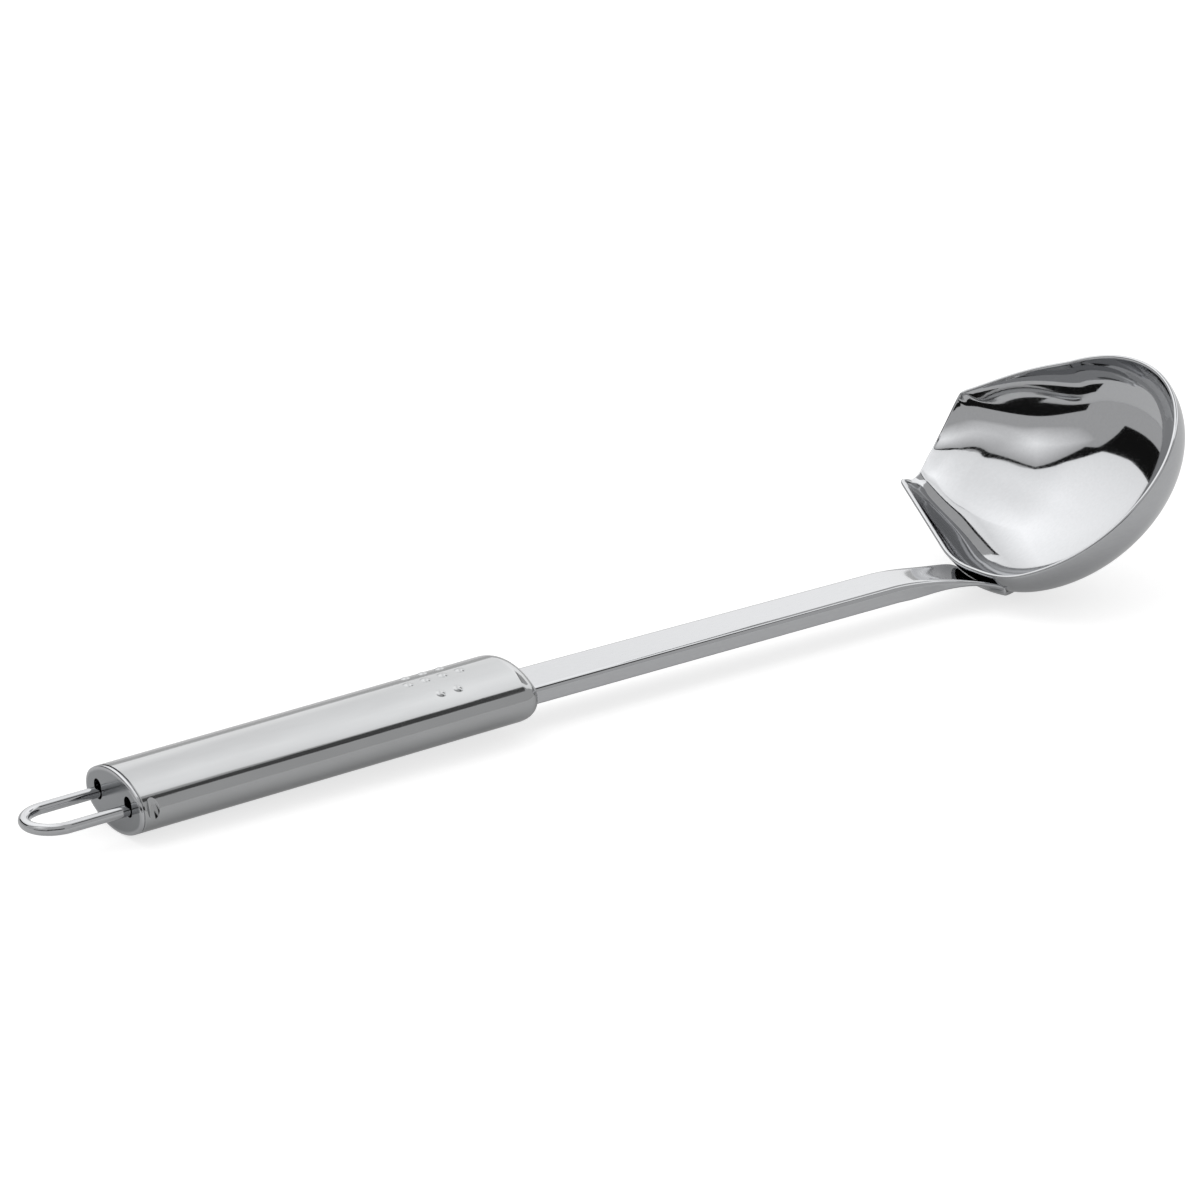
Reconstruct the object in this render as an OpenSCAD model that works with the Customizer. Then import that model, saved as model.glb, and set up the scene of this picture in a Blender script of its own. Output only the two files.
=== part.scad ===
// Sauce ladle: a hollow oval grip with a wire hanging loop, a pressed steel neck and a bowl that
// pours from a wide spout on its left side.
// X runs from the grip to the bowl, Y to the left and Z up. The ladle lies as it rests on a table.
// The pieces are drawn about the axis of the grip, from its rear end, and then laid on the table.

/* [Grip tube] */
// Width of the oval tube, side to side
tube_w = 23.2; // [20:0.1:28]
// Height of the oval tube
tube_h = 13.4; // [12:0.1:17]
// Radius of the tube's two sides
tube_side_r = 4.7; // [4.5:0.1:5.5]
// Length of the tube from its rear end to its front end
tube_len = 93.4; // [85:0.1:120]
// Thickness of the tube's wall
tube_wall = 0.8; // [0.5:0.1:1.2]
// Radius that draws the front end in to its face
shoulder_r = 4.3; // [2.5:0.1:4.4]

/* [Raised dots] */
// Width of one raised dot
dot_w = 2.2; // [1.2:0.1:3]
// Height of one raised dot above the tube
dot_h = 0.35; // [0.2:0.05:0.6]
// Distance between the dots of a row
dot_pitch = 4.1; // [3.2:0.1:5]
// Distance from the front end of the tube to the middle of the dots
dots_back = 19.5; // [16:0.5:30]

/* [End cap] */
// How far the cap stands out behind the tube
cap_proud = 0.9; // [0.6:0.1:2]
// Thickness of the cap's sheet
cap_sheet = 1.0; // [0.6:0.1:1.4]
// How deep the cap reaches into the tube
cap_depth = 6; // [5:0.5:12]
// Gap between the cap and the inside of the tube, all round
cap_clearance = 0.1; // [0.05:0.05:0.2]
// Width of the seam between the cap and the end of the tube
seam_w = 0.15; // [0.1:0.05:0.3]
// Depth of that seam
seam_depth = 0.35; // [0.2:0.05:0.5]

/* [Hanging loop] */
// Thickness of the loop's wire
wire_d = 2.4; // [1.6:0.1:2.8]
// Distance between the middles of the loop's two legs
loop_w = 12.4; // [11:0.1:14]
// Distance from the rear end of the tube to the outer end of the loop
loop_reach = 21.2; // [16:0.1:40]
// Gap between the wire and the sides of its slot in the cap
loop_clearance = 0.3; // [0.1:0.05:0.4]
// Height of each slot in the cap
slot_h = 4.4; // [3.6:0.1:5]
// Height of the middle of the slots above the axis of the tube
slot_z = 0.6; // [0:0.1:0.8]

/* [Neck] */
// Width of the neck where it leaves the tube
neck_w = 12.7; // [10:0.1:14]
// Width of the neck where it starts to bend down
neck_front_w = 11.6; // [9:0.1:14]
// Height of the neck's folded sides
neck_h = 3.8; // [3:0.1:5]
// Thickness of the neck's sheet
neck_sheet = 1.5; // [1:0.1:2]
// Radius of the neck's long upper edges
neck_edge_r = 1.3; // [0.8:0.1:1.6]
// Length of the neck that is inside the tube
neck_insert = 20; // [10:1:40]
// Height of the middle of the neck at the front end of the tube, above the axis of the tube
neck_z = -1.0; // [-1.5:0.1:0]
// Slope of the neck down towards the bowl, in degrees
neck_droop = 0.8; // [0:0.1:1.5]
// Length of the straight neck between the tube and the bend
neck_len = 93; // [80:1:120]
// Gap between the neck and its slot in the tube
neck_clearance = 0.15; // [0.1:0.05:0.3]

/* [Tab under the bowl] */
// Width of the tab at its corners
tab_w = 17.8; // [14:0.1:22]
// Latitude on the bowl where the tab first touches it, 90 at the rim and 0 at the bottom
tab_from = 75; // [70:1:80]
// Latitude on the bowl of the tab's tip
tab_to = 38; // [34:1:60]
// Thickness of the tab's sheet, pressed thinner than the neck
tab_sheet = 1.0; // [0.8:0.1:1.5]
// Gap between the tab and the bowl
tab_gap = 0.1; // [0.05:0.05:0.2]

/* [Bowl] */
// Outer radius of the bowl's round rim
bowl_r = 31.3; // [27:0.1:36]
// Outer depth of the bowl below its rim
bowl_depth = 18.4; // [15:0.1:24]
// Fullness of the bowl's section, 2 for an ellipse and more for a squarer one
bowl_fullness = 2.15; // [2:0.05:2.5]
// Thickness of the bowl's sheet
bowl_sheet = 1.0; // [0.7:0.1:1.3]
// Angle between the rim and the grip, in degrees
bowl_tilt = 36.8; // [30:0.1:42]
// Height of the middle of the rim above the axis of the grip
bowl_z = 14.6; // [12:0.1:18]
// Distance from the start of the neck's bend to the middle of the bowl
bowl_ahead = 46.5; // [45:0.1:50]

/* [Spout] */
// Turn of the spout from square to the grip, towards the grip, in degrees
spout_turn = 6.5; // [0:0.5:15]
// Angle between each straight side of the spout and its middle, in degrees
spout_angle = 28.5; // [24:0.5:34]
// Distance from the middle of the bowl to the spout's two corners, along the spout
spout_reach = 40.5; // [38:0.5:46]
// How much less the spout's corner on the side of the grip reaches out
lip_lean = 0.8; // [0:0.1:3]
// How far the lip bulges out between its corners
lip_bulge = 2.7; // [1:0.1:5]
// How far the lip dips below the rim between its corners
lip_dip = 5.6; // [2:0.1:7]
// How far the side of the spout away from the grip bows out
side_bow = 1.05; // [0:0.05:1.5]
// How far the rim is pressed in on the side of the grip
near_press = 1.5; // [0:0.1:3]

/* [Hidden] */

// Facets of round parts that are rebuilt as true curves
round_fn = 48;
// Small overlap of a cut with the outside of what it cuts
cut = 1;
// Width of the small rounding at the edge of the cap
cap_edge_r = 0.6 * cap_proud;

// Rows of raised dots: distance from the middle of the tube, to the left, and number of dots
DOT_ROWS = [[-6.3, 2], [-0.4, 4], [4.2, 3]];
// The two crimp marks that hold the cap: distance from the rear end, radius and depth
crimp_x = 3;
crimp_r = 1.8;
crimp_depth = 0.3;
// Turn of a crimp mark from the top of the tube, as seen from the rear
crimp_turn = 68;

// Steps round the lip, along each side of the spout, round the rest of the rim, and down the bowl
LIP_STEPS = 20;
SIDE_STEPS = 14;
ROUND_STEPS = 62;
DEPTH_STEPS = 14;
// How fast the floor of the spout rises to the lip, and how near the rim the dip and the press stay
spout_rise = 2.2;
dip_fade = 5;
press_fade = 12;
// How the dip eases to the far corner and to the near corner of the spout
dip_far = 1.3;
dip_near = 4;
// Angles from the middle of the spout between which the pressed rim eases back to the round one
press_end = 85;
round_again = 114;
// Radius of blending at the two corners of the spout
corner_blend = 1.6;
// Steps along the top of the oval and round one of its sides
TOP_STEPS = 14;
END_STEPS = 18;
// Steps along the bend of the neck, along the tab and round a rounded edge
BEND_STEPS = 16;
TAB_STEPS = 16;
EDGE_STEPS = 4;
// Points across half of the neck's top
ACROSS_STEPS = 4;

// The oval is drawn with four arcs: two of top_r above and below, and two of tube_side_r at the sides
tube_a = tube_w / 2;
tube_b = tube_h / 2;
side_y = tube_a - tube_side_r;
top_r = (side_y * side_y + tube_b * tube_b - tube_side_r * tube_side_r) / (2 * (tube_b - tube_side_r));
top_z = tube_b - top_r;
// Turn from the top of the tube to where its upper arc meets the arc of its side
arc_turn = atan(side_y / -top_z);
loop_r = loop_w / 2;
wire_r = wire_d / 2;
loop_x = loop_reach - wire_r - loop_r;
neck_bend_x = tube_len + neck_len;
neck_top_z = neck_z + neck_h / 2;

// Angle from the middle of the spout to the place where each of its sides starts
spout_half = 90 - spout_angle;
// The same angle to its far and near corners, where a side is as far out as the corner's reach
near_reach = spout_reach - lip_lean;
far_corner = atan((bowl_r / sin(spout_angle) - spout_reach) * tan(spout_angle) / spout_reach);
near_corner = atan(((bowl_r - near_press) / sin(spout_angle) - near_reach) * tan(spout_angle) / near_reach);
spout_middle = 90 + spout_turn;

function mix(a, b, t) = a + (b - a) * t;
function smooth(t) = let (u = min(max(t, 0), 1)) u * u * (3 - 2 * u);
function unit(v) = v / norm(v);
function blend_min(a, b, r) = let (h = max(r - abs(a - b), 0) / r) min(a, b) - h * h * r / 4;

// Angle from the middle of the spout to a direction in the rim's plane, more than 0 towards the grip
function spout_off(dir) = let (d = dir - spout_middle) d - 360 * floor((d + 180) / 360);
// Place along the lip, from -1 at its far corner to 1 at its near one
function lip_place(off) = off < 0 ? off / far_corner : off / near_corner;

// Distance from the middle of the bowl to the outer edge of the rim, in one direction. The part of the
// press that counts goes from 0 well below the rim to 1 at the rim.
function rim_r(dir, part) = let (
        off = spout_off(dir),
        place = min(abs(lip_place(off)), 1),
        press = off < 0 ? 0 : part * near_press * (1 - smooth((off - press_end) / (round_again - press_end))),
        along = min(max((-off - far_corner) / (spout_half - far_corner), 0), 1),
        bow = side_bow * pow(sin(180 * along), 1.3),
        side = (bowl_r - press + bow) / cos(max(spout_half - abs(off), 0)),
        lean = part * lip_lean * smooth((off + far_corner) / (far_corner + near_corner)),
        lip = (spout_reach - lean + lip_bulge * (1 - place * place)) / cos(min(abs(off), 60))
    ) abs(off) > spout_half ? side : blend_min(side, lip, corner_blend);

function rim_dip(dir) = let (place = lip_place(spout_off(dir)))
    abs(place) < 1 ? lip_dip * (1 - pow(abs(place), place < 0 ? dip_far : dip_near)) : 0;

// Centre, radius and outward turn from the top of each point round the oval
oval_points = concat(
    [for (i = [0:TOP_STEPS - 1]) [0, top_z, top_r, mix(-arc_turn, arc_turn, i / TOP_STEPS)]],
    [for (i = [0:END_STEPS - 1]) [side_y, 0, tube_side_r, mix(arc_turn, 180 - arc_turn, i / END_STEPS)]],
    [for (i = [0:TOP_STEPS - 1]) [0, -top_z, top_r, mix(180 - arc_turn, 180 + arc_turn, i / TOP_STEPS)]],
    [for (i = [0:END_STEPS - 1]) [-side_y, 0, tube_side_r, mix(180 + arc_turn, 360 - arc_turn, i / END_STEPS)]]
);
// Oval ring across the tube at x, smaller than the tube by inset all round
function oval_ring(x, inset) = [
    for (p = oval_points)
        [x, p[0] + (p[2] - inset) * sin(p[3]), p[1] + (p[2] - inset) * cos(p[3])]
];
// Pairs of x and inset round one edge: the arc goes from the face at x to the side at inset, back by r
function round_edge(x, inset, r, way) = [
    for (i = [0:EDGE_STEPS])
        let (a = 90 * i / EDGE_STEPS)
            [x - way * r * (1 - cos(a)), inset + r * (1 - sin(a))]
];

// Point of the outer surface: dir is the direction in the rim's plane, and lat the latitude
function bowl_outer(dir, lat) = let (
        s = pow(sin(lat), 2 / bowl_fullness),
        open = smooth(1 - abs(spout_off(dir)) / spout_half),
        rise = mix(bowl_fullness, spout_rise, open),
        steep = mix(bowl_fullness, 1, open),
        depth = bowl_depth * pow(max(1 - pow(s, rise), 0), 1 / steep) + rim_dip(dir) * pow(s, dip_fade),
        r = s * rim_r(dir, pow(s, press_fade))
    ) [r * cos(dir), r * sin(dir), -depth];

// Outward direction of the outer surface, from two short steps along it
function bowl_out(dir, lat) = lat == 0 ? [0, 0, -1] : let (
        round_step = bowl_outer(dir + 0.2, lat) - bowl_outer(dir - 0.2, lat),
        down_step = bowl_outer(dir, lat - 0.1) - bowl_outer(dir, lat)
    ) unit(cross(down_step, round_step));

// The same point, further in by inset
function bowl_point(dir, lat, inset) = bowl_outer(dir, lat) - inset * bowl_out(dir, lat);

// Directions round the rim, closest together along the lip
rim_dirs = concat(
    [for (i = [0:LIP_STEPS - 1]) spout_middle + mix(-far_corner, near_corner, i / LIP_STEPS)],
    [for (i = [0:SIDE_STEPS - 1]) spout_middle + mix(near_corner, spout_half, i / SIDE_STEPS)],
    [for (i = [0:ROUND_STEPS - 1]) spout_middle + mix(spout_half, 360 - spout_half, i / ROUND_STEPS)],
    [for (i = [0:SIDE_STEPS - 1]) spout_middle + mix(360 - spout_half, 360 - far_corner, i / SIDE_STEPS)]
);

// From the bowl's own axes to those of the grip
bowl_x = neck_bend_x + bowl_ahead;
function bowl_to_grip(p) = [
    bowl_x + p.x * cos(bowl_tilt) - p.z * sin(bowl_tilt),
    p.y,
    bowl_z + p.x * sin(bowl_tilt) + p.z * cos(bowl_tilt)
];

// Point on the bowl's wall towards the grip: side is its distance to the left, out its distance from the wall
function wall_point(lat, side, out) = let (
        r = norm([bowl_outer(180, lat).x, 0]),
        dir = 180 - asin(min(max(side / r, -1), 1))
    ) bowl_to_grip(bowl_outer(dir, lat) + out * bowl_out(dir, lat));

// The bend of the neck, from the end of its straight part to the tab: a curve with both end slopes
bend_start = [neck_bend_x, 0, neck_top_z - neck_len * tan(neck_droop)];
bend_end = wall_point(tab_from, 0, tab_gap);
bend_start_way = [cos(neck_droop), 0, -sin(neck_droop)];
bend_end_way = unit(wall_point(tab_from - 1, 0, tab_gap) - wall_point(tab_from + 1, 0, tab_gap));
bend_len = norm(bend_end - bend_start);
// How strongly the bend keeps to the wall's slope at its end, against 1 for the neck's at its start
bend_end_pull = 0.5;
function bend_at(t) =
    (2 * t * t * t - 3 * t * t + 1) * bend_start + (3 * t * t - 2 * t * t * t) * bend_end
    + bend_len * (t * t * t - 2 * t * t + t) * bend_start_way
    + bend_len * bend_end_pull * (t * t * t - t * t) * bend_end_way;
function bend_way(t) = unit(bend_at(t + 0.001) - bend_at(t - 0.001));

// Points of the neck: side is the distance to the left, down the distance below the top face
function straight_point(x, side, down) =
    [x, side, neck_top_z - (x - tube_len) * tan(neck_droop) - down];
function bend_point(t, side, down) = let (
        way = bend_way(t),
        up = [-way.z, 0, way.x],
        cup = smooth(t) * side * side / (2 * bowl_r)
    ) bend_at(t) + [0, side, 0] + (cup - down) * up;
function tab_point(lat, side, down) = wall_point(lat, side, tab_gap + down);

// Outline of one section of the neck, as pairs of side and down, from half width, height, radius of
// the upper edge and thickness of the sheet
function half_section(w, h, r, sheet) = let (
        foot = 0.3,
        side = min(sheet, w / 3),
        fold = min(0.6, w / 6)
    ) concat(
        [for (i = [0:ACROSS_STEPS - 1]) [mix(0, w - r, i / ACROSS_STEPS), 0]],
        [for (i = [0:EDGE_STEPS]) let (a = 90 * i / EDGE_STEPS) [w - r + r * sin(a), r - r * cos(a)]],
        [[w, h - foot], [w - foot, h], [w - side, h]],
        [[w - side - fold / 3, mix(h, sheet, 0.75)]],
        [for (i = [0:ACROSS_STEPS]) [mix(w - side - fold, 0, i / ACROSS_STEPS), sheet]]
    );
function section(w, h, r, sheet) = let (half = half_section(w, h, r, sheet), n = len(half)) concat(
    [for (q = half) [-q[0], q[1]]],
    [for (i = [n - 2:-1:1]) half[i]]
);

// Half width, height and edge radius of the neck along its bend and its tab
tab_edge_r = 0.4;
tab_tip_w = 3;
function bend_section(t) = section(
    mix(neck_front_w, tab_w, smooth((t - 0.35) / 0.65)) / 2,
    mix(neck_h, tab_sheet, smooth((t - 0.1) / 0.65)),
    mix(neck_edge_r, tab_edge_r, smooth(t)),
    mix(neck_sheet, tab_sheet, smooth((t - 0.1) / 0.65))
);
function tab_section(t) = section(
    mix(tab_tip_w, tab_w, pow(1 - t, 1.7)) / 2,
    tab_sheet,
    tab_edge_r,
    tab_sheet
);

// Height of the lowest point of the bowl and its tab above the axis of the grip, after a turn
low_points = [for (lat = [tab_to:0.5:tab_from]) wall_point(lat, 0, tab_gap + tab_sheet)];
function lowest(turn) = let (
        heights = [for (p = low_points) p.x * sin(turn) + p.z * cos(turn)],
        low = min(heights)
    ) low_points[search(low, heights)[0]];
// Turn that lets the rear end of the tube and the tab both touch the table
function settle(turn, rounds) = rounds == 0 ? turn : let (p = lowest(turn))
    settle(atan((-tube_b - p.z) / p.x), rounds - 1);
rest_turn = settle(0, 3);
rest_z = tube_b * cos(rest_turn);

// Extent of the ladle along X and Y as it rests, to put the origin under its middle
function rest_x(p) = p.x * cos(rest_turn) - p.z * sin(rest_turn);
front_x = max([for (lat = [45:90]) rest_x(bowl_to_grip(bowl_outer(0, lat)))]);
left_y = max([for (dir = rim_dirs) rim_r(dir, 1) * sin(dir)]);
middle_x = (front_x + rest_x([-loop_reach, 0, 0])) / 2;
middle_y = (left_y - bowl_r) / 2;

module laid_on_table() {
    translate([-middle_x, -middle_y, rest_z])
        rotate([0, -rest_turn, 0])
            children();
}

// Triangles between rings that each have n points, in order round and along
function ring_faces(rings, n) = [
    for (k = [0:rings - 2], i = [0:n - 1])
        let (j = (i + 1) % n, a = k * n, b = a + n)
            each [[a + i, b + i, a + j], [a + j, b + i, b + j]]
];
// Triangles from one point to the first ring, and from the last ring to one point
function root_faces(n, root) = [for (i = [0:n - 1]) [i, (i + 1) % n, root]];
function tip_faces(rings, n, tip) =
    [for (i = [0:n - 1]) [(rings - 1) * n + i, tip, (rings - 1) * n + (i + 1) % n]];

// Closed solid through rings, with a point before the first ring and one after the last
module ring_solid(rings, root, tip) {
    n = len(rings[0]);
    count = len(rings);
    polyhedron(
        points = concat([for (ring = rings) each ring], [root, tip]),
        faces = concat(
            ring_faces(count, n),
            root_faces(n, count * n),
            tip_faces(count, n, count * n + 1)
        ),
        convexity = 8
    );
}

// Ball of a raised dot, sunk so that it stands dot_h above the tube and is dot_w wide there
module raised_dot(x, side) {
    ball_r = (dot_w * dot_w / 4 + dot_h * dot_h) / (2 * dot_h);
    turn = asin(side / top_r);
    reach = top_r + dot_h - ball_r;
    translate([x, reach * sin(turn), top_z + reach * cos(turn)])
        sphere(ball_r, $fn = round_fn);
}

// Ball that presses a crimp mark into one side of the tube
module crimp_mark(turn) {
    reach = tube_side_r + crimp_r - crimp_depth;
    translate([crimp_x, sign(turn) * side_y + reach * sin(turn), reach * cos(turn)])
        sphere(crimp_r, $fn = round_fn);
}

module neck_slot() {
    depth = 2 * shoulder_r;
    translate([tube_len, 0, neck_z])
        rotate([0, neck_droop, 0])
            translate([-depth, -neck_w / 2 - neck_clearance, -neck_h / 2 - neck_clearance])
                cube([depth + cut, neck_w + 2 * neck_clearance, neck_h + 2 * neck_clearance]);
}

module handle_tube() {
    inner_x = tube_len - tube_wall;
    outside = round_edge(tube_len, 0, shoulder_r, 1);
    inside = round_edge(inner_x, tube_wall, shoulder_r - tube_wall, 1);
    profile = concat(
        outside,
        [[0, 0], [0, tube_wall]],
        [for (i = [EDGE_STEPS:-1:0]) inside[i]]
    );
    color("#b9bbbd")
    difference() {
        union() {
            ring_solid([for (p = profile) oval_ring(p[0], p[1])], [tube_len, 0, 0], [inner_x, 0, 0]);
            for (row = DOT_ROWS, i = [0:row[1] - 1])
                raised_dot(tube_len - dots_back + (i - (row[1] - 1) / 2) * dot_pitch, row[0]);
        }
        neck_slot();
        for (turn = [-crimp_turn, crimp_turn])
            crimp_mark(turn);
    }
}

// One upright slot in the cap, round at both ends
module cap_slot(side) {
    slot_w = wire_d + 2 * loop_clearance;
    straight = slot_h - slot_w;
    reach = cap_proud + cap_depth + cut;
    translate([-cap_proud - cut, side, slot_z]) {
        for (z = [-straight / 2, straight / 2])
            translate([0, 0, z])
                rotate([0, 90, 0])
                    cylinder(h = reach, d = slot_w, $fn = round_fn);
        translate([0, -slot_w / 2, -straight / 2])
            cube([reach, slot_w, straight]);
    }
}

module end_cap() {
    plug_inset = tube_wall + cap_clearance;
    inner_x = cap_sheet - cap_proud;
    edge = round_edge(-cap_proud, 0, cap_edge_r, -1);
    profile = concat(
        [[inner_x, plug_inset + cap_sheet], [cap_depth, plug_inset + cap_sheet], [cap_depth, plug_inset]],
        [[0, plug_inset], [0, seam_depth], [-seam_w, seam_depth], [-seam_w, 0]],
        [for (i = [EDGE_STEPS:-1:0]) edge[i]]
    );
    color("#a9abad")
    difference() {
        ring_solid([for (p = profile) oval_ring(p[0], p[1])], [inner_x, 0, 0], [-cap_proud, 0, 0]);
        for (side = [-loop_r, loop_r])
            cap_slot(side);
    }
}

// One leg of the loop, with its end bent outward behind the cap
module loop_leg() {
    foot_r = wire_d * 0.75;
    bend_x = cap_sheet - cap_proud + loop_clearance;
    foot_end = tube_a - tube_wall - cap_clearance - cap_sheet - loop_clearance - 0.2;
    translate([-loop_x, loop_r, 0])
        rotate([0, 90, 0])
            cylinder(h = loop_x + bend_x, r = wire_r, $fn = round_fn);
    translate([bend_x, loop_r + foot_r, 0])
        rotate([0, 0, -90])
            rotate_extrude(angle = 90, $fn = round_fn)
                translate([foot_r, 0]) circle(wire_r, $fn = round_fn);
    translate([bend_x + foot_r, loop_r + foot_r, 0])
        rotate([-90, 0, 0])
            cylinder(h = foot_end - loop_r - foot_r, r = wire_r, $fn = round_fn);
}

module hanging_loop() {
    color("#d6d8da") {
        translate([-loop_x, 0, 0])
            rotate([0, 0, 90])
                rotate_extrude(angle = 180, $fn = round_fn)
                    translate([loop_r, 0]) circle(wire_r, $fn = round_fn);
        loop_leg();
        mirror([0, 1, 0]) loop_leg();
    }
}

// Triangles across one section of the neck, between its upper and its lower points
function section_faces(n, start) = let (m = n / 2 + 1) [
    for (i = [0:m / 2 - 2])
        let (a = i, b = i + 1, c = m - 2 - i, d = m - 1 - i)
            each [
                [start + a, start + b, start + c],
                [start + a, start + c, start + d],
                [start + (n - d) % n, start + (n - c) % n, start + (n - b) % n],
                [start + (n - d) % n, start + (n - b) % n, start + (n - a) % n]
            ]
];

module neck() {
    full = section(neck_w / 2, neck_h, neck_edge_r, neck_sheet);
    rings = concat(
        [for (x = [tube_len - neck_insert, tube_len]) [for (q = full) straight_point(x, q[0], q[1])]],
        [for (k = [0:BEND_STEPS - 1]) let (t = k / BEND_STEPS)
            [for (q = bend_section(t)) bend_point(t, q[0], q[1])]],
        [for (k = [0:TAB_STEPS]) let (t = k / TAB_STEPS)
            [for (q = tab_section(t)) tab_point(mix(tab_from, tab_to, t), q[0], q[1])]]
    );
    n = len(full);
    count = len(rings);
    color("#c9cbcd")
    polyhedron(
        points = [for (ring = rings) each ring],
        faces = concat(
            ring_faces(count, n),
            section_faces(n, 0),
            [for (f = section_faces(n, (count - 1) * n)) [f[2], f[1], f[0]]]
        ),
        convexity = 8
    );
}

module bowl() {
    // Rings run from the bottom up the outside, over the rim and back down the inside
    lats = [for (i = [1:DEPTH_STEPS]) 90 * i / DEPTH_STEPS];
    outside = [for (lat = lats) [for (dir = rim_dirs) bowl_point(dir, lat, 0)]];
    rim_mid = [for (dir = rim_dirs) bowl_point(dir, 90, bowl_sheet / 2) + [0, 0, bowl_sheet * 0.15]];
    inside = [for (i = [DEPTH_STEPS - 1:-1:0]) [for (dir = rim_dirs) bowl_point(dir, lats[i], bowl_sheet)]];
    color("#cfd1d3")
    translate([bowl_x, 0, bowl_z])
        rotate([0, -bowl_tilt, 0])
            ring_solid(
                concat(outside, [rim_mid], inside),
                [0, 0, -bowl_depth],
                [0, 0, bowl_sheet - bowl_depth]
            );
}

laid_on_table() handle_tube();
laid_on_table() end_cap();
laid_on_table() hanging_loop();
laid_on_table() neck();
laid_on_table() bowl();
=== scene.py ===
import math

import bmesh
import bpy
import numpy as np
from bpy.props import FloatProperty, PointerProperty, StringProperty
from mathutils import Matrix


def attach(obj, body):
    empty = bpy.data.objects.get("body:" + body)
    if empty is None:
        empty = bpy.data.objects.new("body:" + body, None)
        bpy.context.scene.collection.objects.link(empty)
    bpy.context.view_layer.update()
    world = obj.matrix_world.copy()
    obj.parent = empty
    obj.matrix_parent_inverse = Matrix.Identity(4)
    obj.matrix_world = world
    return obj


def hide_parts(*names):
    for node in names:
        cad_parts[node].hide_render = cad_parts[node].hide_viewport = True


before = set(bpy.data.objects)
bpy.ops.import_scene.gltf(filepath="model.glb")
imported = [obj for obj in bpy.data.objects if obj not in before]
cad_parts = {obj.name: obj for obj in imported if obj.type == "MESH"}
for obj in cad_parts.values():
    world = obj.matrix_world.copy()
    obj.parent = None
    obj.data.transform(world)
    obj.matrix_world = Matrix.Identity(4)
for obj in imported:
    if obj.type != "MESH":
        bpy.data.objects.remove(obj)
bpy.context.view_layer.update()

bl_info = {
    "name": "Sauce ladle",
    "version": (1, 0, 0),
    "blender": (4, 5, 0),
    "location": "View3D > Sidebar > Ladle",
    "description": "Makes the pieces of a steel sauce ladle and the studio it lies in",
    "category": "Object",
}

MM = 0.001
WHITE = (1, 1, 1, 1)

# How the ladle lies: turn about Y in degrees, and the move that puts it on the table, in mm
REST_TURN = 1.08293
REST_MOVE = (-119.501, -5.81865, 6.6988)

# The camera: its place in metres, the directions of its right, up and view, its lens and sensor in mm,
# and the nearest and furthest that it sees in metres
CAMERA_PLACE = (-0.58134, -0.90813, 0.40665)
CAMERA_RIGHT = (0.83412, -0.55, -0.04074)
CAMERA_UP = (0.21827, 0.2614, 0.94019)
CAMERA_VIEW = (0.50648, 0.7932, -0.33809)
CAMERA_LENS = 165
CAMERA_SENSOR = 36
CAMERA_REACH = (0.05, 50)

# Rows of raised dots: distance to the left of the middle of the tube in mm, and number of dots
DOT_ROWS = ((-6.3, 2), (-0.4, 4), (4.2, 3))
DOT_SIDES = 40

# The tube's rear edge is broken by this much, in mm
REAR_CHAMFER = 0.15

# The crimp marks: distance from the tube's rear end and depth in mm, and turn from the top of the tube in
# degrees. The lens that presses them has a radius in mm, half its angle in degrees, and its length along
# the tube as a share of its length round it.
CRIMP_X = 1.9
CRIMP_DEPTH = 0.7
CRIMP_TURN = 76
CRIMP_LENS_R = 20
CRIMP_LENS_ANGLE = 16
CRIMP_LENS_SHARE = 0.26

# The cap: radius of its edge as a share of how far it stands out, and in mm the width over which the
# buffed edge runs into the matt face, and the room for the wire in a slot
CAP_EDGE_SHARE = 0.6
BUFF_FADE = 0.5
SLOT_PLAY = 0.6

# The loop's feet: radius of their bend as a share of the wire, and in mm the straight wire between the
# cap and the bend, and the gap between their ends and the cap's skirt
FOOT_BEND = 0.75
FOOT_START = 0.3
FOOT_GAP = 0.5

# The neck: pull of the bowl's direction on the end of the bend, and the shares of the bend where the
# channel starts to thin and to widen, and over which it does so
BEND_END_PULL = 0.5
THIN_FROM = 0.1
WIDEN_FROM = 0.35
BEND_CHANGE = 0.65

# The tab: radius of its edges and width of its tip in mm, and the power of its taper
TAB_EDGE_R = 0.4
TAB_TIP_W = 3
TAB_TAPER = 1.7

# The bowl's wall: power of its curve in the middle of the spout, and the powers by which the lip's dip
# and the rim's press fade below the rim
SPOUT_RISE = 2.2
DIP_FADE = 5
PRESS_FADE = 12

# The rim: powers of the dip on the far and near half of the lip and of the bow of the far side, the
# directions in degrees between which the near press runs out, the width of the corners' rounding in mm,
# and the direction from the spout's middle past which the lip's line isn't followed
DIP_FAR = 1.3
DIP_NEAR = 4
BOW_POWER = 1.3
PRESS_END = 85
ROUND_AGAIN = 114
CORNER_BLEND = 1.6
LIP_END = 60

# The rim's form is blurred round the bowl by this many degrees below the rim, and the blur comes in over
# this share of the way to the bowl's middle. It is kept as this many waves, measured at this step.
SOFT_BELOW = 12
SOFT_DEPTH = 0.25
WAVES = 150
WAVE_STEP = 0.5

# The rounded rim starts where the wall is this many rim radii short of its end, and its middle lies this
# many below it. The walls may end at any of the latitudes that are tried.
RIM_START = 1.3
RIM_SINK = 0.9
WALL_ENDS = np.linspace(74, 90, 120)

# The studio. Directions are pairs in degrees: the turn from +X towards +Y, and the height above the table.
# Places and distances are in metres.
STUDIO_CENTRE = (0.06, 0.0, 0.02)
NEAR_WALL = (0.1, -0.02, 0.03)
FLOOR_SPAN = 12.0
WALL_DISTANCE = 5.0
WALL_SIDES = 48
DARK_DISTANCE = 3.4
FLAT_CARD_RISE = 0.0006

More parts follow.
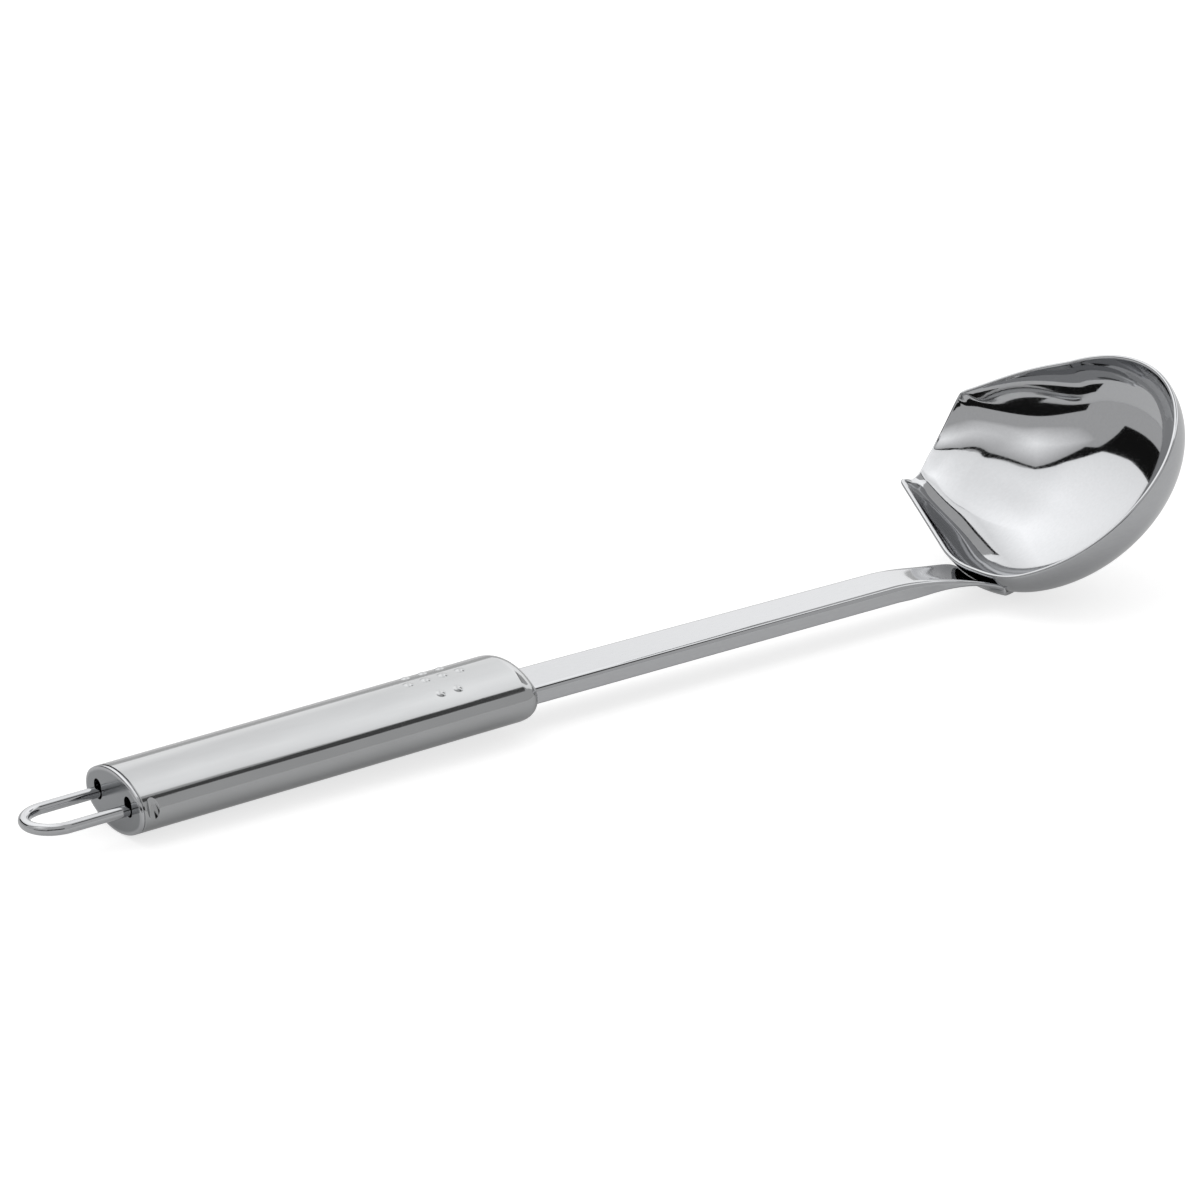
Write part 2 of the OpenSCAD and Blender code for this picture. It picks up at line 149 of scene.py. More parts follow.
# Strengths with which the floor's paper glows for camera rays, and for glossy and transmission rays
PAPER_LIFT = 0.71
PAPER_MIRRORED_LIFT = 0.22

# Outlines of the cards, as the directions of their corners from the ladle: lit, grey and dark ones
MAIN_SOFTBOX = (
    (62, 12), (98, 14), (120, 27), (140, 35), (151, 41), (154, 55), (158, 63),
    (168, 67), (180, 68), (-165, 68.5), (-150, 71), (-100, 76), (-40, 80), (62, 80),
)
SIDE_SOFTBOX = ((-26, 40), (0, 14), (40, 8), (62, 12), (62, 80), (0, 82), (-40, 80), (-30, 68))
GLOW_CARD = (
    (148, 30), (165, 27), (185, 27), (202, 36), (210, 56), (200, 66), (180, 67), (158, 62), (152, 40),
)
GREY_CARD_ABOVE = ((60, 45), (54, 55), (46, 68), (30, 73), (6, 68), (4, 50), (24, 36), (45, 36))
DARK_CARD_ABOVE = ((62.5, 44), (57, 56), (49, 70.5), (28, 76), (24, 68), (48, 44))
DARK_CARD_SIDE = ((-63, 45), (-50, 40), (-30, 50), (-28, 58), (-46, 58), (-62, 53))
DARK_CARDS = {
    "dark_card_far": ((96, 6), (141, 17), (143, 36), (120, 27), (98, 17)),
    "dark_edge_low": (
        (138, 31), (151, 38), (156, 52), (160, 61), (158, 63), (154, 55), (150, 41), (138, 34),
    ),
    "dark_edge_high": (
        (158, 61), (170, 64.5), (195, 66), (212, 68.5), (212, 70), (195, 68), (180, 67.5), (158, 63),
    ),
    "dark_card_grip": ((-186, -2), (-142, -2), (-142, 9), (-168, 9), (-186, 7)),
    "dark_camera_corner": ((-146, 7), (-95, 7), (-95, 22), (-122, 24), (-146, 22)),
}

# Black cards that lie on the floor, with their corners as pairs of x and y in metres. They are painted shade
# of the floor behind the neck and beyond the grip's end, which only the steel's reflections show
FLOOR_SHADE_CARDS = {
    "dark_strip": ((0.056, 0.002), (0.06, 0.021), (-0.02, 0.02), (-0.02, -0.004)),
    "dark_table_end": ((-0.29, -0.06), (-0.23, -0.19), (-2.5, -2.1), (-3.2, -0.7)),
}


# Sizes and colours that a user would change

def length(name, description, mm, low, high):
    """A size with its limits, given in millimetres and kept in metres."""
    return FloatProperty(
        name=name,
        description=description,
        default=mm * MM,
        min=low * MM,
        max=high * MM,
        unit="LENGTH",
        precision=5,
    )


def angle(name, description, degrees, low, high):
    """An angle with its limits, given in degrees and kept in radians."""
    return FloatProperty(
        name=name,
        description=description,
        default=math.radians(degrees),
        min=math.radians(low),
        max=math.radians(high),
        subtype="ANGLE",
    )


def tone(name, description, value):
    """A colour, given as an sRGB hex value."""
    return StringProperty(name=name, description=description, default=value)


class LADLE_grip_sizes(bpy.types.PropertyGroup):
    """Sizes of the oval tube, its cap, its dots and the hanging loop"""

    tube_w: length("Tube width", "Width of the oval tube", 23.2, 20, 28)
    tube_h: length("Tube height", "Height of the oval tube", 13.4, 12, 17)
    tube_side_r: length("Side radius", "Radius of the tube's two sides", 4.7, 4.5, 5.5)
    tube_len: length("Tube length", "Length of the tube", 93.4, 85, 120)
    tube_wall: length("Tube wall", "Thickness of the tube's wall", 0.8, 0.5, 1.2)
    shoulder_r: length("Shoulder radius", "Radius of the tube's front end", 4.3, 2.5, 4.4)
    dot_w: length("Dot width", "Width of one raised dot", 2.2, 1.2, 3)
    dot_h: length("Dot height", "Height of one raised dot", 0.35, 0.2, 0.6)
    dot_pitch: length("Dot pitch", "Distance between the dots of a row", 4.1, 3.2, 5)
    dots_back: length("Dots back", "Distance from the tube's front end to the dots", 19.5, 16, 30)
    cap_proud: length("Cap proud", "How far the cap stands out of the tube", 0.9, 0.6, 2)
    cap_sheet: length("Cap sheet", "Thickness of the cap's sheet", 1.0, 0.6, 1.4)
    cap_depth: length("Cap depth", "How deep the cap reaches into the tube", 6, 5, 12)
    cap_clearance: length("Cap clearance", "Gap between the cap and the tube", 0.1, 0.05, 0.2)
    seam_w: length("Seam width", "Width of the seam behind the cap's edge", 0.3, 0.1, 0.4)
    seam_depth: length("Seam depth", "Depth of that seam", 0.35, 0.2, 0.5)
    wire_d: length("Wire", "Thickness of the loop's wire", 2.4, 1.6, 2.8)
    loop_w: length("Loop width", "Distance between the middles of the loop's legs", 12.4, 11, 14)
    loop_reach: length("Loop reach", "Distance from the tube to the outer end of the loop", 21.2, 16, 40)
    slot_h: length("Slot height", "Height of each slot in the cap", 4.4, 3.6, 5)
    slot_z: length("Slot rise", "Height of the slots above the axis of the tube", 0.6, 0, 0.8)


class LADLE_neck_sizes(bpy.types.PropertyGroup):
    """Sizes of the neck and of the tab at its end"""

    neck_w: length("Neck width", "Width of the neck at the tube", 12.7, 10, 14)
    neck_front_w: length("Front width", "Width of the neck at its bend", 11.6, 9, 14)
    neck_h: length("Neck height", "Height of the neck's folded sides", 3.8, 3, 5)
    neck_sheet: length("Neck sheet", "Thickness of the neck's sheet", 1.5, 1, 2)
    neck_edge_r: length("Edge radius", "Radius of the neck's upper edges", 1.3, 0.8, 1.6)
    neck_insert: length("Neck insert", "Length of the neck inside the tube", 20, 10, 40)
    neck_z: length("Neck rise", "Height of the neck at the tube above the tube's axis", -1.0, -1.5, 0)
    neck_droop: angle("Neck droop", "Slope of the neck down to the bowl", 0.8, 0, 1.5)
    neck_len: length("Neck length", "Length of the straight neck", 93, 80, 120)
    neck_clearance: length("Neck clearance", "Gap between the neck and its slot", 0.15, 0.1, 0.3)
    tab_w: length("Tab width", "Width of the tab at its corners", 17.8, 14, 22)
    tab_from: angle("Tab start", "Latitude on the bowl where the tab starts", 75, 70, 80)
    tab_to: angle("Tab tip", "Latitude on the bowl of the tab's tip", 38, 34, 60)
    tab_gap: length("Tab gap", "Gap between the tab and the bowl", 0.1, 0.05, 0.2)
    tab_sheet: length("Tab sheet", "Thickness of the tab", 1.0, 0.8, 1.5)


class LADLE_bowl_sizes(bpy.types.PropertyGroup):
    """Sizes of the bowl and its spout"""

    bowl_r: length("Bowl radius", "Outer radius of the round rim", 31.3, 27, 36)
    bowl_depth: length("Bowl depth", "Outer depth below the rim", 18.4, 15, 24)
    bowl_fullness: FloatProperty(
        name="Fullness",
        description="2 for an ellipse, more for a squarer section",
        default=2.15,
        min=2,
        max=2.5,
    )
    bowl_sheet: length("Bowl sheet", "Thickness of the bowl's sheet", 1.0, 0.7, 1.3)
    bowl_tilt: angle("Bowl tilt", "Angle between the rim and the grip", 36.8, 30, 42)
    bowl_z: length("Bowl rise", "Height of the middle of the rim", 14.6, 12, 18)
    bowl_ahead: length("Bowl ahead", "Distance from the neck's bend to the bowl's middle", 46.5, 45, 50)
    spout_turn: angle("Spout turn", "Turn of the spout towards the grip", 6.5, 0, 15)
    spout_angle: angle("Spout angle", "Angle between each side of the spout and its middle", 28.5, 24, 34)
    spout_reach: length("Spout reach", "Distance from the bowl's middle to a corner", 40.5, 38, 46)
    lip_lean: length("Lip lean", "How much less the near corner reaches out", 0.8, 0, 3)
    lip_bulge: length("Lip bulge", "How far the lip bulges out", 2.7, 1, 5)
    lip_dip: length("Lip dip", "How far the lip dips below the rim", 5.6, 2, 7)
    side_bow: length("Side bow", "How far the far side of the spout bows out", 1.05, 0, 1.5)
    near_press: length("Near press", "How far the rim is pressed in near the grip", 1.5, 0, 3)


class LADLE_finish(bpy.types.PropertyGroup):
    """Colours, as sRGB hex values"""

    polished: tone("Polished steel", "Colour of the mirror-polished steel", "#bebfc1")
    satin: tone("Satin steel", "Colour of the satin steel", "#b4b5b6")
    cap_face: tone("Cap face", "Colour of the cap's flat face", "#999b9d")
    floor: tone("Floor", "Colour of the floor", "#b8b8b8")
    wall: tone("Studio wall", "Colour of the studio's walls", "#c4c4c4")


def own_keys(group):
    """The names of the sizes or colours in a group."""
    return [key for key in group.bl_rna.properties.keys() if key not in ("rna_type", "name")]


class Ladle:
    """The ladle's sizes in millimetres and degrees, and the ones that follow from them."""

    def __init__(self, scene):
        for group in (scene.ladle_grip, scene.ladle_neck, scene.ladle_bowl):
            for key in own_keys(group):
                value = getattr(group, key)
                kind = group.bl_rna.properties[key].unit
                if kind == "LENGTH":
                    value = value / MM
                elif kind == "ROTATION":
                    value = math.degrees(value)
                setattr(self, key, value)
        self.tube_b = self.tube_h / 2
        self.side_y = self.tube_w / 2 - self.tube_side_r
        self.top_r = (self.side_y ** 2 + self.tube_b ** 2 - self.tube_side_r ** 2) / (
            2 * (self.tube_b - self.tube_side_r)
        )
        self.top_z = self.tube_b - self.top_r
        self.arc_turn = math.degrees(math.atan(self.side_y / -self.top_z))
        self.cap_edge_r = CAP_EDGE_SHARE * self.cap_proud
        self.cap_inner_x = self.cap_sheet - self.cap_proud
        self.loop_r = self.loop_w / 2
        self.wire_r = self.wire_d / 2
        self.loop_x = self.loop_reach - self.wire_r - self.loop_r
        self.neck_slope = math.tan(math.radians(self.neck_droop))
        self.neck_bend_x = self.tube_len + self.neck_len
        self.neck_top_z = self.neck_z + self.neck_h / 2
        self.bowl_x = self.neck_bend_x + self.bowl_ahead
        self.spout_half = 90 - self.spout_angle
        self.spout_middle = 90 + self.spout_turn
        self.near_reach = self.spout_reach - self.lip_lean
        slope = math.radians(self.spout_angle)
        far = self.bowl_r / math.sin(slope) - self.spout_reach
        self.far_corner = math.degrees(math.atan(far * math.tan(slope) / self.spout_reach))
        near = (self.bowl_r - self.near_press) / math.sin(slope) - self.near_reach
        self.near_corner = math.degrees(math.atan(near * math.tan(slope) / self.near_reach))
        self.waves = rim_waves(self)


def mix(a, b, t):
    return a + (b - a) * t


def smooth(t):
    """0 below 0, 1 above 1, and a smooth step between them."""
    u = np.clip(t, 0, 1)
    return u * u * (3 - 2 * u)


def sin(degrees):
    return np.sin(np.radians(degrees))


def cos(degrees):
    return np.cos(np.radians(degrees))


def unit(v):
    return v / np.linalg.norm(v, axis=-1, keepdims=True)


# Shape of the bowl

def spout_off(ladle, turn):
    """Angle from the middle of the spout, more than 0 towards the grip."""
    off = np.asarray(turn, float) - ladle.spout_middle
    return off - 360 * np.floor((off + 180) / 360)


def lip_place(ladle, off):
    """Place along the lip: -1 at its far corner, 0 in its middle and 1 at its near corner."""
    return np.where(off < 0, off / ladle.far_corner, off / ladle.near_corner)


def rim_radius(ladle, turn, pressed):
    """Distance from the middle of the bowl to the outer edge of the rim. pressed is 1 for the rim as it
    is, and 0 for one without its press, its bow and its lean, which fade below the rim."""
    off = spout_off(ladle, turn)
    place = np.minimum(np.abs(lip_place(ladle, off)), 1)
    fade = 1 - smooth((off - PRESS_END) / (ROUND_AGAIN - PRESS_END))
    press = np.where(off < 0, 0, pressed * ladle.near_press * fade)
    along = np.clip((-off - ladle.far_corner) / (ladle.spout_half - ladle.far_corner), 0, 1)
    bow = pressed * ladle.side_bow * np.abs(sin(180 * along)) ** BOW_POWER
    side = (ladle.bowl_r - press + bow) / cos(np.maximum(ladle.spout_half - np.abs(off), 0))
    across = (off + ladle.far_corner) / (ladle.far_corner + ladle.near_corner)
    lean = pressed * ladle.lip_lean * smooth(across)
    bulge = ladle.lip_bulge * (1 - place * place)
    lip = (ladle.spout_reach - lean + bulge) / cos(np.minimum(np.abs(off), LIP_END))
    near = np.maximum(CORNER_BLEND - np.abs(side - lip), 0) / CORNER_BLEND
    corner = np.minimum(side, lip) - near * near * CORNER_BLEND / 4
    return np.where(np.abs(off) > ladle.spout_half, side, corner)


def lip_dip(ladle, turn):
    """How far the lip lies below the plane of the rim."""
    place = lip_place(ladle, spout_off(ladle, turn))
    size = np.minimum(np.abs(place), 1)
    dip = ladle.lip_dip * (1 - size ** np.where(place < 0, DIP_FAR, DIP_NEAR))
    return np.where(np.abs(place) < 1, dip, 0)


def rim_waves(ladle):
    """The rim's radius without and with its press, and the dip of its lip, as waves round the bowl."""
    grid = np.arange(0, 360, WAVE_STEP)
    tables = [rim_radius(ladle, grid, 0), rim_radius(ladle, grid, 1), lip_dip(ladle, grid)]
    waves = 2 * np.fft.rfft(tables, axis=1)[:, :WAVES].T / len(grid)
    waves[0] /= 2
    return waves


def softened(ladle, turn, part):
    """The radius without and with its press and the dip of the lip, in the direction turn. They are as at
    the rim where part is 1. Below it they are blurred round the bowl, as a pressed sheet runs smooth."""
    count = np.arange(len(ladle.waves))
    blur = np.radians(SOFT_BELOW * smooth((1 - part) / SOFT_DEPTH))
    waves = np.exp(1j * np.radians(turn)[..., None] * count - (blur[..., None] * count) ** 2 / 2)
    return np.moveaxis((waves @ ladle.waves).real, -1, 0)


def bowl_outer(ladle, turn, lat):
    """Point of the bowl's outer surface, from the middle of the rim. The latitude lat is 0 at the bottom
    of the bowl and 90 at the rim."""
    turn, lat = np.broadcast_arrays(np.asarray(turn, float), np.asarray(lat, float))
    part = sin(lat) ** (2 / ladle.bowl_fullness)
    plain, pressed, dip = softened(ladle, turn, part)
    opened = smooth(1 - np.abs(spout_off(ladle, turn)) / ladle.spout_half)
    rise = mix(ladle.bowl_fullness, SPOUT_RISE, opened)
    steep = mix(ladle.bowl_fullness, 1, opened)
    depth = ladle.bowl_depth * np.maximum(1 - part ** rise, 0) ** (1 / steep) + dip * part ** DIP_FADE
    r = part * mix(plain, pressed, part ** PRESS_FADE)
    return np.stack([r * cos(turn), r * sin(turn), -depth], -1)


def bowl_out(ladle, turn, lat, step=0.1):
    """Outward direction of the bowl's outer surface."""
    round_step = bowl_outer(ladle, turn + 2 * step, lat) - bowl_outer(ladle, turn - 2 * step, lat)
    down_step = bowl_outer(ladle, turn, lat - step) - bowl_outer(ladle, turn, lat)
    return unit(np.cross(down_step, round_step))


def bowl_to_grip(ladle, p):
    """From the bowl's own axes to those of the grip."""
    c, s = cos(ladle.bowl_tilt), sin(ladle.bowl_tilt)
    x = ladle.bowl_x + p[..., 0] * c - p[..., 2] * s
    z = ladle.bowl_z + p[..., 0] * s + p[..., 2] * c
    return np.stack([x, p[..., 1], z], -1)


def wall_point(ladle, lat, side, out):
    """Point near the wall towards the grip, side to the left of the middle and out from the wall."""
    r = abs(bowl_outer(ladle, 180, lat)[..., 0])
    turn = 180 - np.degrees(np.arcsin(np.clip(side / r, -1, 1)))
    return bowl_to_grip(ladle, bowl_outer(ladle, turn, lat) + out * bowl_out(ladle, turn, lat))


# Meshes

def on_table(points):
    """From the grip's own axes in mm to the table in metres."""
    p = np.asarray(points, float)
    c, s = cos(REST_TURN), sin(REST_TURN)
    x = p[:, 0] * c - p[:, 2] * s + REST_MOVE[0]
    z = p[:, 0] * s + p[:, 2] * c + REST_MOVE[2]
    return np.stack([x, p[:, 1] + REST_MOVE[1], z], -1) * MM


def new_object(name, points, faces):
    mesh = bpy.data.meshes.new(name)
    mesh.from_pydata([tuple(p) for p in points], [], faces)
    mesh.validate()
    mesh.update()
    piece = bpy.data.objects.new(name, mesh)
    bpy.context.collection.objects.link(piece)
    return piece


def ring_mesh(rings, root=None, tip=None):
    """Points and faces of a closed skin through rings, closed by a point or by a flat face at each end."""
    rings = np.asarray(rings, float)
    count, n = rings.shape[:2]
    points = [tuple(p) for p in rings.reshape(-1, 3)]
    faces = []
    for k in range(count - 1):
        for i in range(n):
            j = (i + 1) % n
            faces.append((k * n + i, (k + 1) * n + i, (k + 1) * n + j, k * n + j))
    last = (count - 1) * n
    if root is None:
        faces.append(tuple(range(n)))
    else:
        points.append(tuple(root))
        faces += [(i, (i + 1) % n, len(points) - 1) for i in range(n)]
    if tip is None:
        faces.append(tuple(last + i for i in reversed(range(n))))
    else:
        points.append(tuple(tip))
        faces += [(last + (i + 1) % n, last + i, len(points) - 1) for i in range(n)]
    return points, faces


def outward(piece, same_place=1e-7):
    """Turns every face of a closed piece outwards. Points nearer than same_place, in metres, are merged."""
    build = bmesh.new()
    build.from_mesh(piece.data)
    bmesh.ops.remove_doubles(build, verts=build.verts, dist=same_place)
    bmesh.ops.recalc_face_normals(build, faces=build.faces)
    if build.calc_volume(signed=True) < 0:
        bmesh.ops.reverse_faces(build, faces=build.faces)
    build.to_mesh(piece.data)
    build.free()
    return piece


def closed_piece(name, rings, root=None, tip=None):
    """A closed object through rings in the grip's own axes, laid on the table."""
    points, faces = ring_mesh(rings, root, tip)
    return outward(new_object(name, on_table(points), faces))


def shade(piece, crease):
    """Smooth shading with a sharp line wherever two faces meet at more than crease degrees."""
    mesh = piece.data
    mesh.polygons.foreach_set("use_smooth", [True] * len(mesh.polygons))
    mesh.set_sharp_from_angle(angle=math.radians(crease))
    return piece


def baked(piece):
    """The piece with its modifiers made part of its mesh."""
    depsgraph = bpy.context.evaluated_depsgraph_get()
    mesh = bpy.data.meshes.new_from_object(piece.evaluated_get(depsgraph))
    piece.modifiers.clear()
    piece.data = mesh
    mesh.name = piece.name
    return piece


def cut_away(piece, cutters):
    """The piece without what the cutters fill. The cutters are removed."""
    for cutter in cutters:
        cutter.hide_render = True
        cut = piece.modifiers.new("cut", "BOOLEAN")
        cut.operation = "DIFFERENCE"
        cut.solver = "EXACT"
        cut.object = cutter
    bpy.context.view_layer.update()
    baked(piece)
    for cutter in cutters:
        bpy.data.objects.remove(cutter, do_unlink=True)
    return piece


def finish_piece(piece, node, material):
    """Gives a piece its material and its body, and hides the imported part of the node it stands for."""
    piece.data.materials.clear()
    piece.data.materials.append(material)
    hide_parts(node)
    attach(piece, "root")
    return piece


def box_mesh(low, high):
    x, y, z = zip(low, high)
    points = [(x[i], y[j], z[k]) for i in (0, 1) for j in (0, 1) for k in (0, 1)]
    faces = [(0, 1, 3, 2), (4, 6, 7, 5), (0, 4, 5, 1), (2, 3, 7, 6), (0, 2, 6, 4), (1, 5, 7, 3)]
    return points, faces


def oval_points(ladle, top_steps, end_steps):
    """Centre, radius and outward turn of each point round the oval: its top, left, bottom and right."""
    turn = ladle.arc_turn
    arcs = (
        (0, ladle.top_z, ladle.top_r, -turn, turn, top_steps),
        (ladle.side_y, 0, ladle.tube_side_r, turn, 180 - turn, end_steps),
        (0, -ladle.top_z, ladle.top_r, 180 - turn, 180 + turn, top_steps),
        (-ladle.side_y, 0, ladle.tube_side_r, 180 + turn, 360 - turn, end_steps),
    )
    points = []
    for y, z, r, start, end, steps in arcs:
        points += [(y, z, r, mix(start, end, i / steps)) for i in range(steps)]
    return points


def oval_rings(ladle, profile, top_steps=48, end_steps=56):
    """Rings round the grip's axis, one for each pair of x and inset."""
    oval = np.array(oval_points(ladle, top_steps, end_steps))
    rings = []
    for x, inset in profile:
        y = oval[:, 0] + (oval[:, 2] - inset) * sin(oval[:, 3])
        z = oval[:, 1] + (oval[:, 2] - inset) * cos(oval[:, 3])
        rings.append(np.stack([np.full_like(y, x), y, z], -1))
    return rings


def round_edge(x, inset, r, way, steps):
    """Pairs of x and inset round one edge, from the face at x to the side at inset."""
    out = []
    for i in range(steps + 1):
        a = 90 * i / steps
        out.append((x - way * r * (1 - cos(a)), inset + r * (1 - sin(a))))
    return out


# Materials

def linear(hex_value):
    """Linear colour of an sRGB hex value."""
    channels = [int(hex_value[i:i + 2], 16) / 255 for i in (1, 3, 5)]
    return tuple(c / 12.92 if c <= 0.04045 else ((c + 0.055) / 1.055) ** 2.4 for c in channels) + (1.0,)


def add(tree, kind, settings=None, inputs=None):
    """Adds one node. settings are its properties, and inputs its sockets' values, or outputs to link."""
    node = tree.nodes.new(kind)
    for key, value in (settings or {}).items():
        setattr(node, key, value)
    for key, value in (inputs or {}).items():
        if isinstance(value, bpy.types.NodeSocket):
            tree.links.new(value, node.inputs[key])
        else:
            node.inputs[key].default_value = value
    return node


def new_material(name):
    material = bpy.data.materials.new(name)
    material.use_nodes = True
    material.node_tree.nodes.clear()
    return material, material.node_tree


def grain(tree, grain_mm, detail, roughness=0.5):
    """A pattern of grains of the given length, width and height in mm, laid along the ladle."""
    place = add(tree, "ShaderNodeTexCoord").outputs["Object"]
    scale = [1 / (size * MM) for size in grain_mm]
    turned = add(
        tree,
        "ShaderNodeMapping",
        inputs={"Vector": place, "Rotation": (0, math.radians(REST_TURN), 0), "Scale": scale},
    )
    return add(
        tree,
        "ShaderNodeTexNoise",
        inputs={"Vector": turned.outputs[0], "Scale": 1.0, "Detail": detail, "Roughness": roughness},
    ).outputs[0]


# The values between which a grain pattern mostly lies, and which are spread over the whole of a range
GRAIN_RANGE = {"From Min": 0.35, "From Max": 0.65}


def mottled(tree, pattern, colour, darkest):
    """The colour, down to the share darkest of it where the pattern is low."""
    spread = add(
        tree, "ShaderNodeMapRange", inputs={"Value": pattern, **GRAIN_RANGE, "To Min": 0.0, "To Max": 1.0}
    )
    dark = tuple(c * darkest for c in colour[:3]) + (1,)
    inputs = {0: spread.outputs[0], 6: dark, 7: colour}
    return add(tree, "ShaderNodeMix", {"data_type": "RGBA"}, inputs).outputs[2]


def finish_metal(tree, tint, rough, pattern, strength, height_mm):
    """Ends a metal's nodes with a bump from a pattern, the metal itself and the output."""
    bump = add(
        tree, "ShaderNodeBump", inputs={"Strength": strength, "Distance": height_mm * MM, "Height": pattern}
    )
    metal = add(
        tree,
        "ShaderNodeBsdfPrincipled",
        inputs={"Base Color": tint, "Metallic": 1.0, "Roughness": rough, "Normal": bump.outputs[0]},
    )
    add(tree, "ShaderNodeOutputMaterial", inputs={"Surface": metal.outputs[0]})


def polished_steel(finish):
    """18/10 stainless steel, pressed and then polished on a mop: a mirror that is a little soft, with
    the faint waves a pressing keeps and hairlines too fine to see one by one, drawn 0.5 mm apart."""
    material, tree = new_material("polished_stainless_steel")
    waves = grain(tree, (18.2, 18.2, 18.2), 1.0)
    hairs = grain(tree, (2.5, 0.5, 0.5), 3.0)
    rough = add(
        tree, "ShaderNodeMapRange", inputs={"Value": hairs, **GRAIN_RANGE, "To Min": 0.035, "To Max": 0.075}
    ).outputs[0]
    tint = mottled(tree, hairs, linear(finish.polished), 0.97)
    finish_metal(tree, tint, rough, waves, 0.25, 0.04)
    return material


def satin_steel(finish):
    """Stainless tube finished with a fine belt along its length: a broad soft sheen with faint streaks.
    The belt's lines are about 0.05 mm wide, too fine to show, and are drawn 0.3 mm wide."""
    material, tree = new_material("satin_stainless_tube")
    streaks = grain(tree, (22.2, 0.303, 0.303), 4.0, 0.6)
    patches = grain(tree, (16.7, 4.55, 4.55), 2.0)
    rough = add(
        tree, "ShaderNodeMapRange", inputs={"Value": streaks, **GRAIN_RANGE, "To Min": 0.07, "To Max": 0.12}
    ).outputs[0]
    tint = mottled(tree, patches, linear(finish.satin), 0.96)
    finish_metal(tree, tint, rough, streaks, 0.12, 0.03)
    return material


def cap_steel(finish):
    """Stamped steel cap: its face is blasted matt, and its rounded edge is buffed bright. The attribute
    buffed says which is which. Blasting leaves pits of about 0.1 mm, drawn 0.25 mm wide."""
    material, tree = new_material("stamped_steel_cap")
    buffed = add(tree, "ShaderNodeAttribute", {"attribute_name": "buffed"}).outputs["Fac"]
    pits = grain(tree, (0.25, 0.25, 0.25), 2.0)
    matt = add(
        tree, "ShaderNodeMapRange", inputs={"Value": pits, **GRAIN_RANGE, "To Min": 0.14, "To Max": 0.2}
    ).outputs[0]
    rough = add(tree, "ShaderNodeMix", {"data_type": "FLOAT"}, {0: buffed, 2: matt, 3: 0.07}).outputs[0]
    tint = add(
        tree,
        "ShaderNodeMix",
        {"data_type": "RGBA"},
        {0: buffed, 6: linear(finish.cap_face), 7: linear(finish.polished)},
    ).outputs[2]
    finish_metal(tree, tint, rough, pits, 0.15, 0.02)
    return material


def glow(name, colour, middle, edge):
    """A lit or a black card that the steel mirrors, with its strength in the middle and at its edge."""
    material, tree = new_material(name)
    inside = add(tree, "ShaderNodeAttribute", {"attribute_name": "inside"}).outputs["Fac"]
    strength = add(tree, "ShaderNodeMapRange", inputs={"Value": inside, "To Min": edge, "To Max": middle})
    shader = add(tree, "ShaderNodeEmission", inputs={"Color": colour, "Strength": strength.outputs[0]})
    add(tree, "ShaderNodeOutputMaterial", inputs={"Surface": shader.outputs[0]})
    return material


def floor_paper(finish):
    """Matt white background paper: plain diffuse, with a faint unevenness of its fibres 3 mm across.
    Camera, glossy and transmission rays see it a little brighter, so it is white and keeps its shadow."""
    material, tree = new_material("white_background_paper")
    fibres = grain(tree, (3.03, 3.03, 3.03), 2.0)
    tint = mottled(tree, fibres, linear(finish.floor), 0.99)
    paper = add(tree, "ShaderNodeBsdfDiffuse", inputs={"Color": tint})
    path = add(tree, "ShaderNodeLightPath")
    mirrored = add(
        tree,
        "ShaderNodeMath",
        {"operation": "MAXIMUM"},
        {0: path.outputs["Is Glossy Ray"], 1: path.outputs["Is Transmission Ray"]},
    )
    for_mirrors = add(
        tree, "ShaderNodeMath", {"operation": "MULTIPLY"}, {0: mirrored.outputs[0], 1: PAPER_MIRRORED_LIFT}
    )
    lift = add(
        tree,
        "ShaderNodeMath",
        {"operation": "MULTIPLY_ADD"},
        {0: path.outputs["Is Camera Ray"], 1: PAPER_LIFT, 2: for_mirrors.outputs[0]},
    )
    light = add(tree, "ShaderNodeEmission", inputs={"Color": WHITE, "Strength": lift.outputs[0]})
    both = add(tree, "ShaderNodeAddShader", inputs={0: paper.outputs[0], 1: light.outputs[0]})
    add(tree, "ShaderNodeOutputMaterial", inputs={"Surface": both.outputs[0]})
    return material


SHARED_MATERIALS = {}


def shared(make, finish):
    """The material that make gives, made once."""
    if make not in SHARED_MATERIALS:
        SHARED_MATERIALS[make] = make(finish)
    return SHARED_MATERIALS[make]


# The grip: its tube, its dots, its cap and the hanging loop

def crimp_lens(ladle, turn, steps=24, sides=72):
    """Cutter for one crimp mark: a shallow lens, long round the tube and short along it."""
    low = ladle.tube_side_r - CRIMP_DEPTH
    out = np.array([0, sin(turn), cos(turn)])
    along = np.array([0, cos(turn), -sin(turn)])
    middle = np.array([CRIMP_X, math.copysign(ladle.side_y, turn), 0])
    rings = []
    for a in np.linspace(0, CRIMP_LENS_ANGLE, steps + 1)[1:]:
        wide = CRIMP_LENS_R * sin(a)
        centre = middle + out * (low + CRIMP_LENS_R * (1 - cos(a)))
        ring = []
        for b in np.arange(0, 360, 360 / sides):
            ring.append(centre + along * wide * sin(b) + np.array([CRIMP_LENS_SHARE * wide * cos(b), 0, 0]))
        rings.append(ring)
    return closed_piece("crimp", rings, middle + out * low)


def neck_slot(ladle):
    """Cutter for the slot in the tube's front end, which slopes as the neck does."""
    half_w = ladle.neck_w / 2 + ladle.neck_clearance
    half_h = ladle.neck_h / 2 + ladle.neck_clearance
    points, faces = box_mesh((-2 * ladle.shoulder_r, -half_w, -half_h), (1, half_w, half_h))
    c, s = cos(ladle.neck_droop), sin(ladle.neck_droop)
    sloped = [(ladle.tube_len + x * c + z * s, y, ladle.neck_z - x * s + z * c) for x, y, z in points]
    return outward(new_object("slot", on_table(sloped), faces))


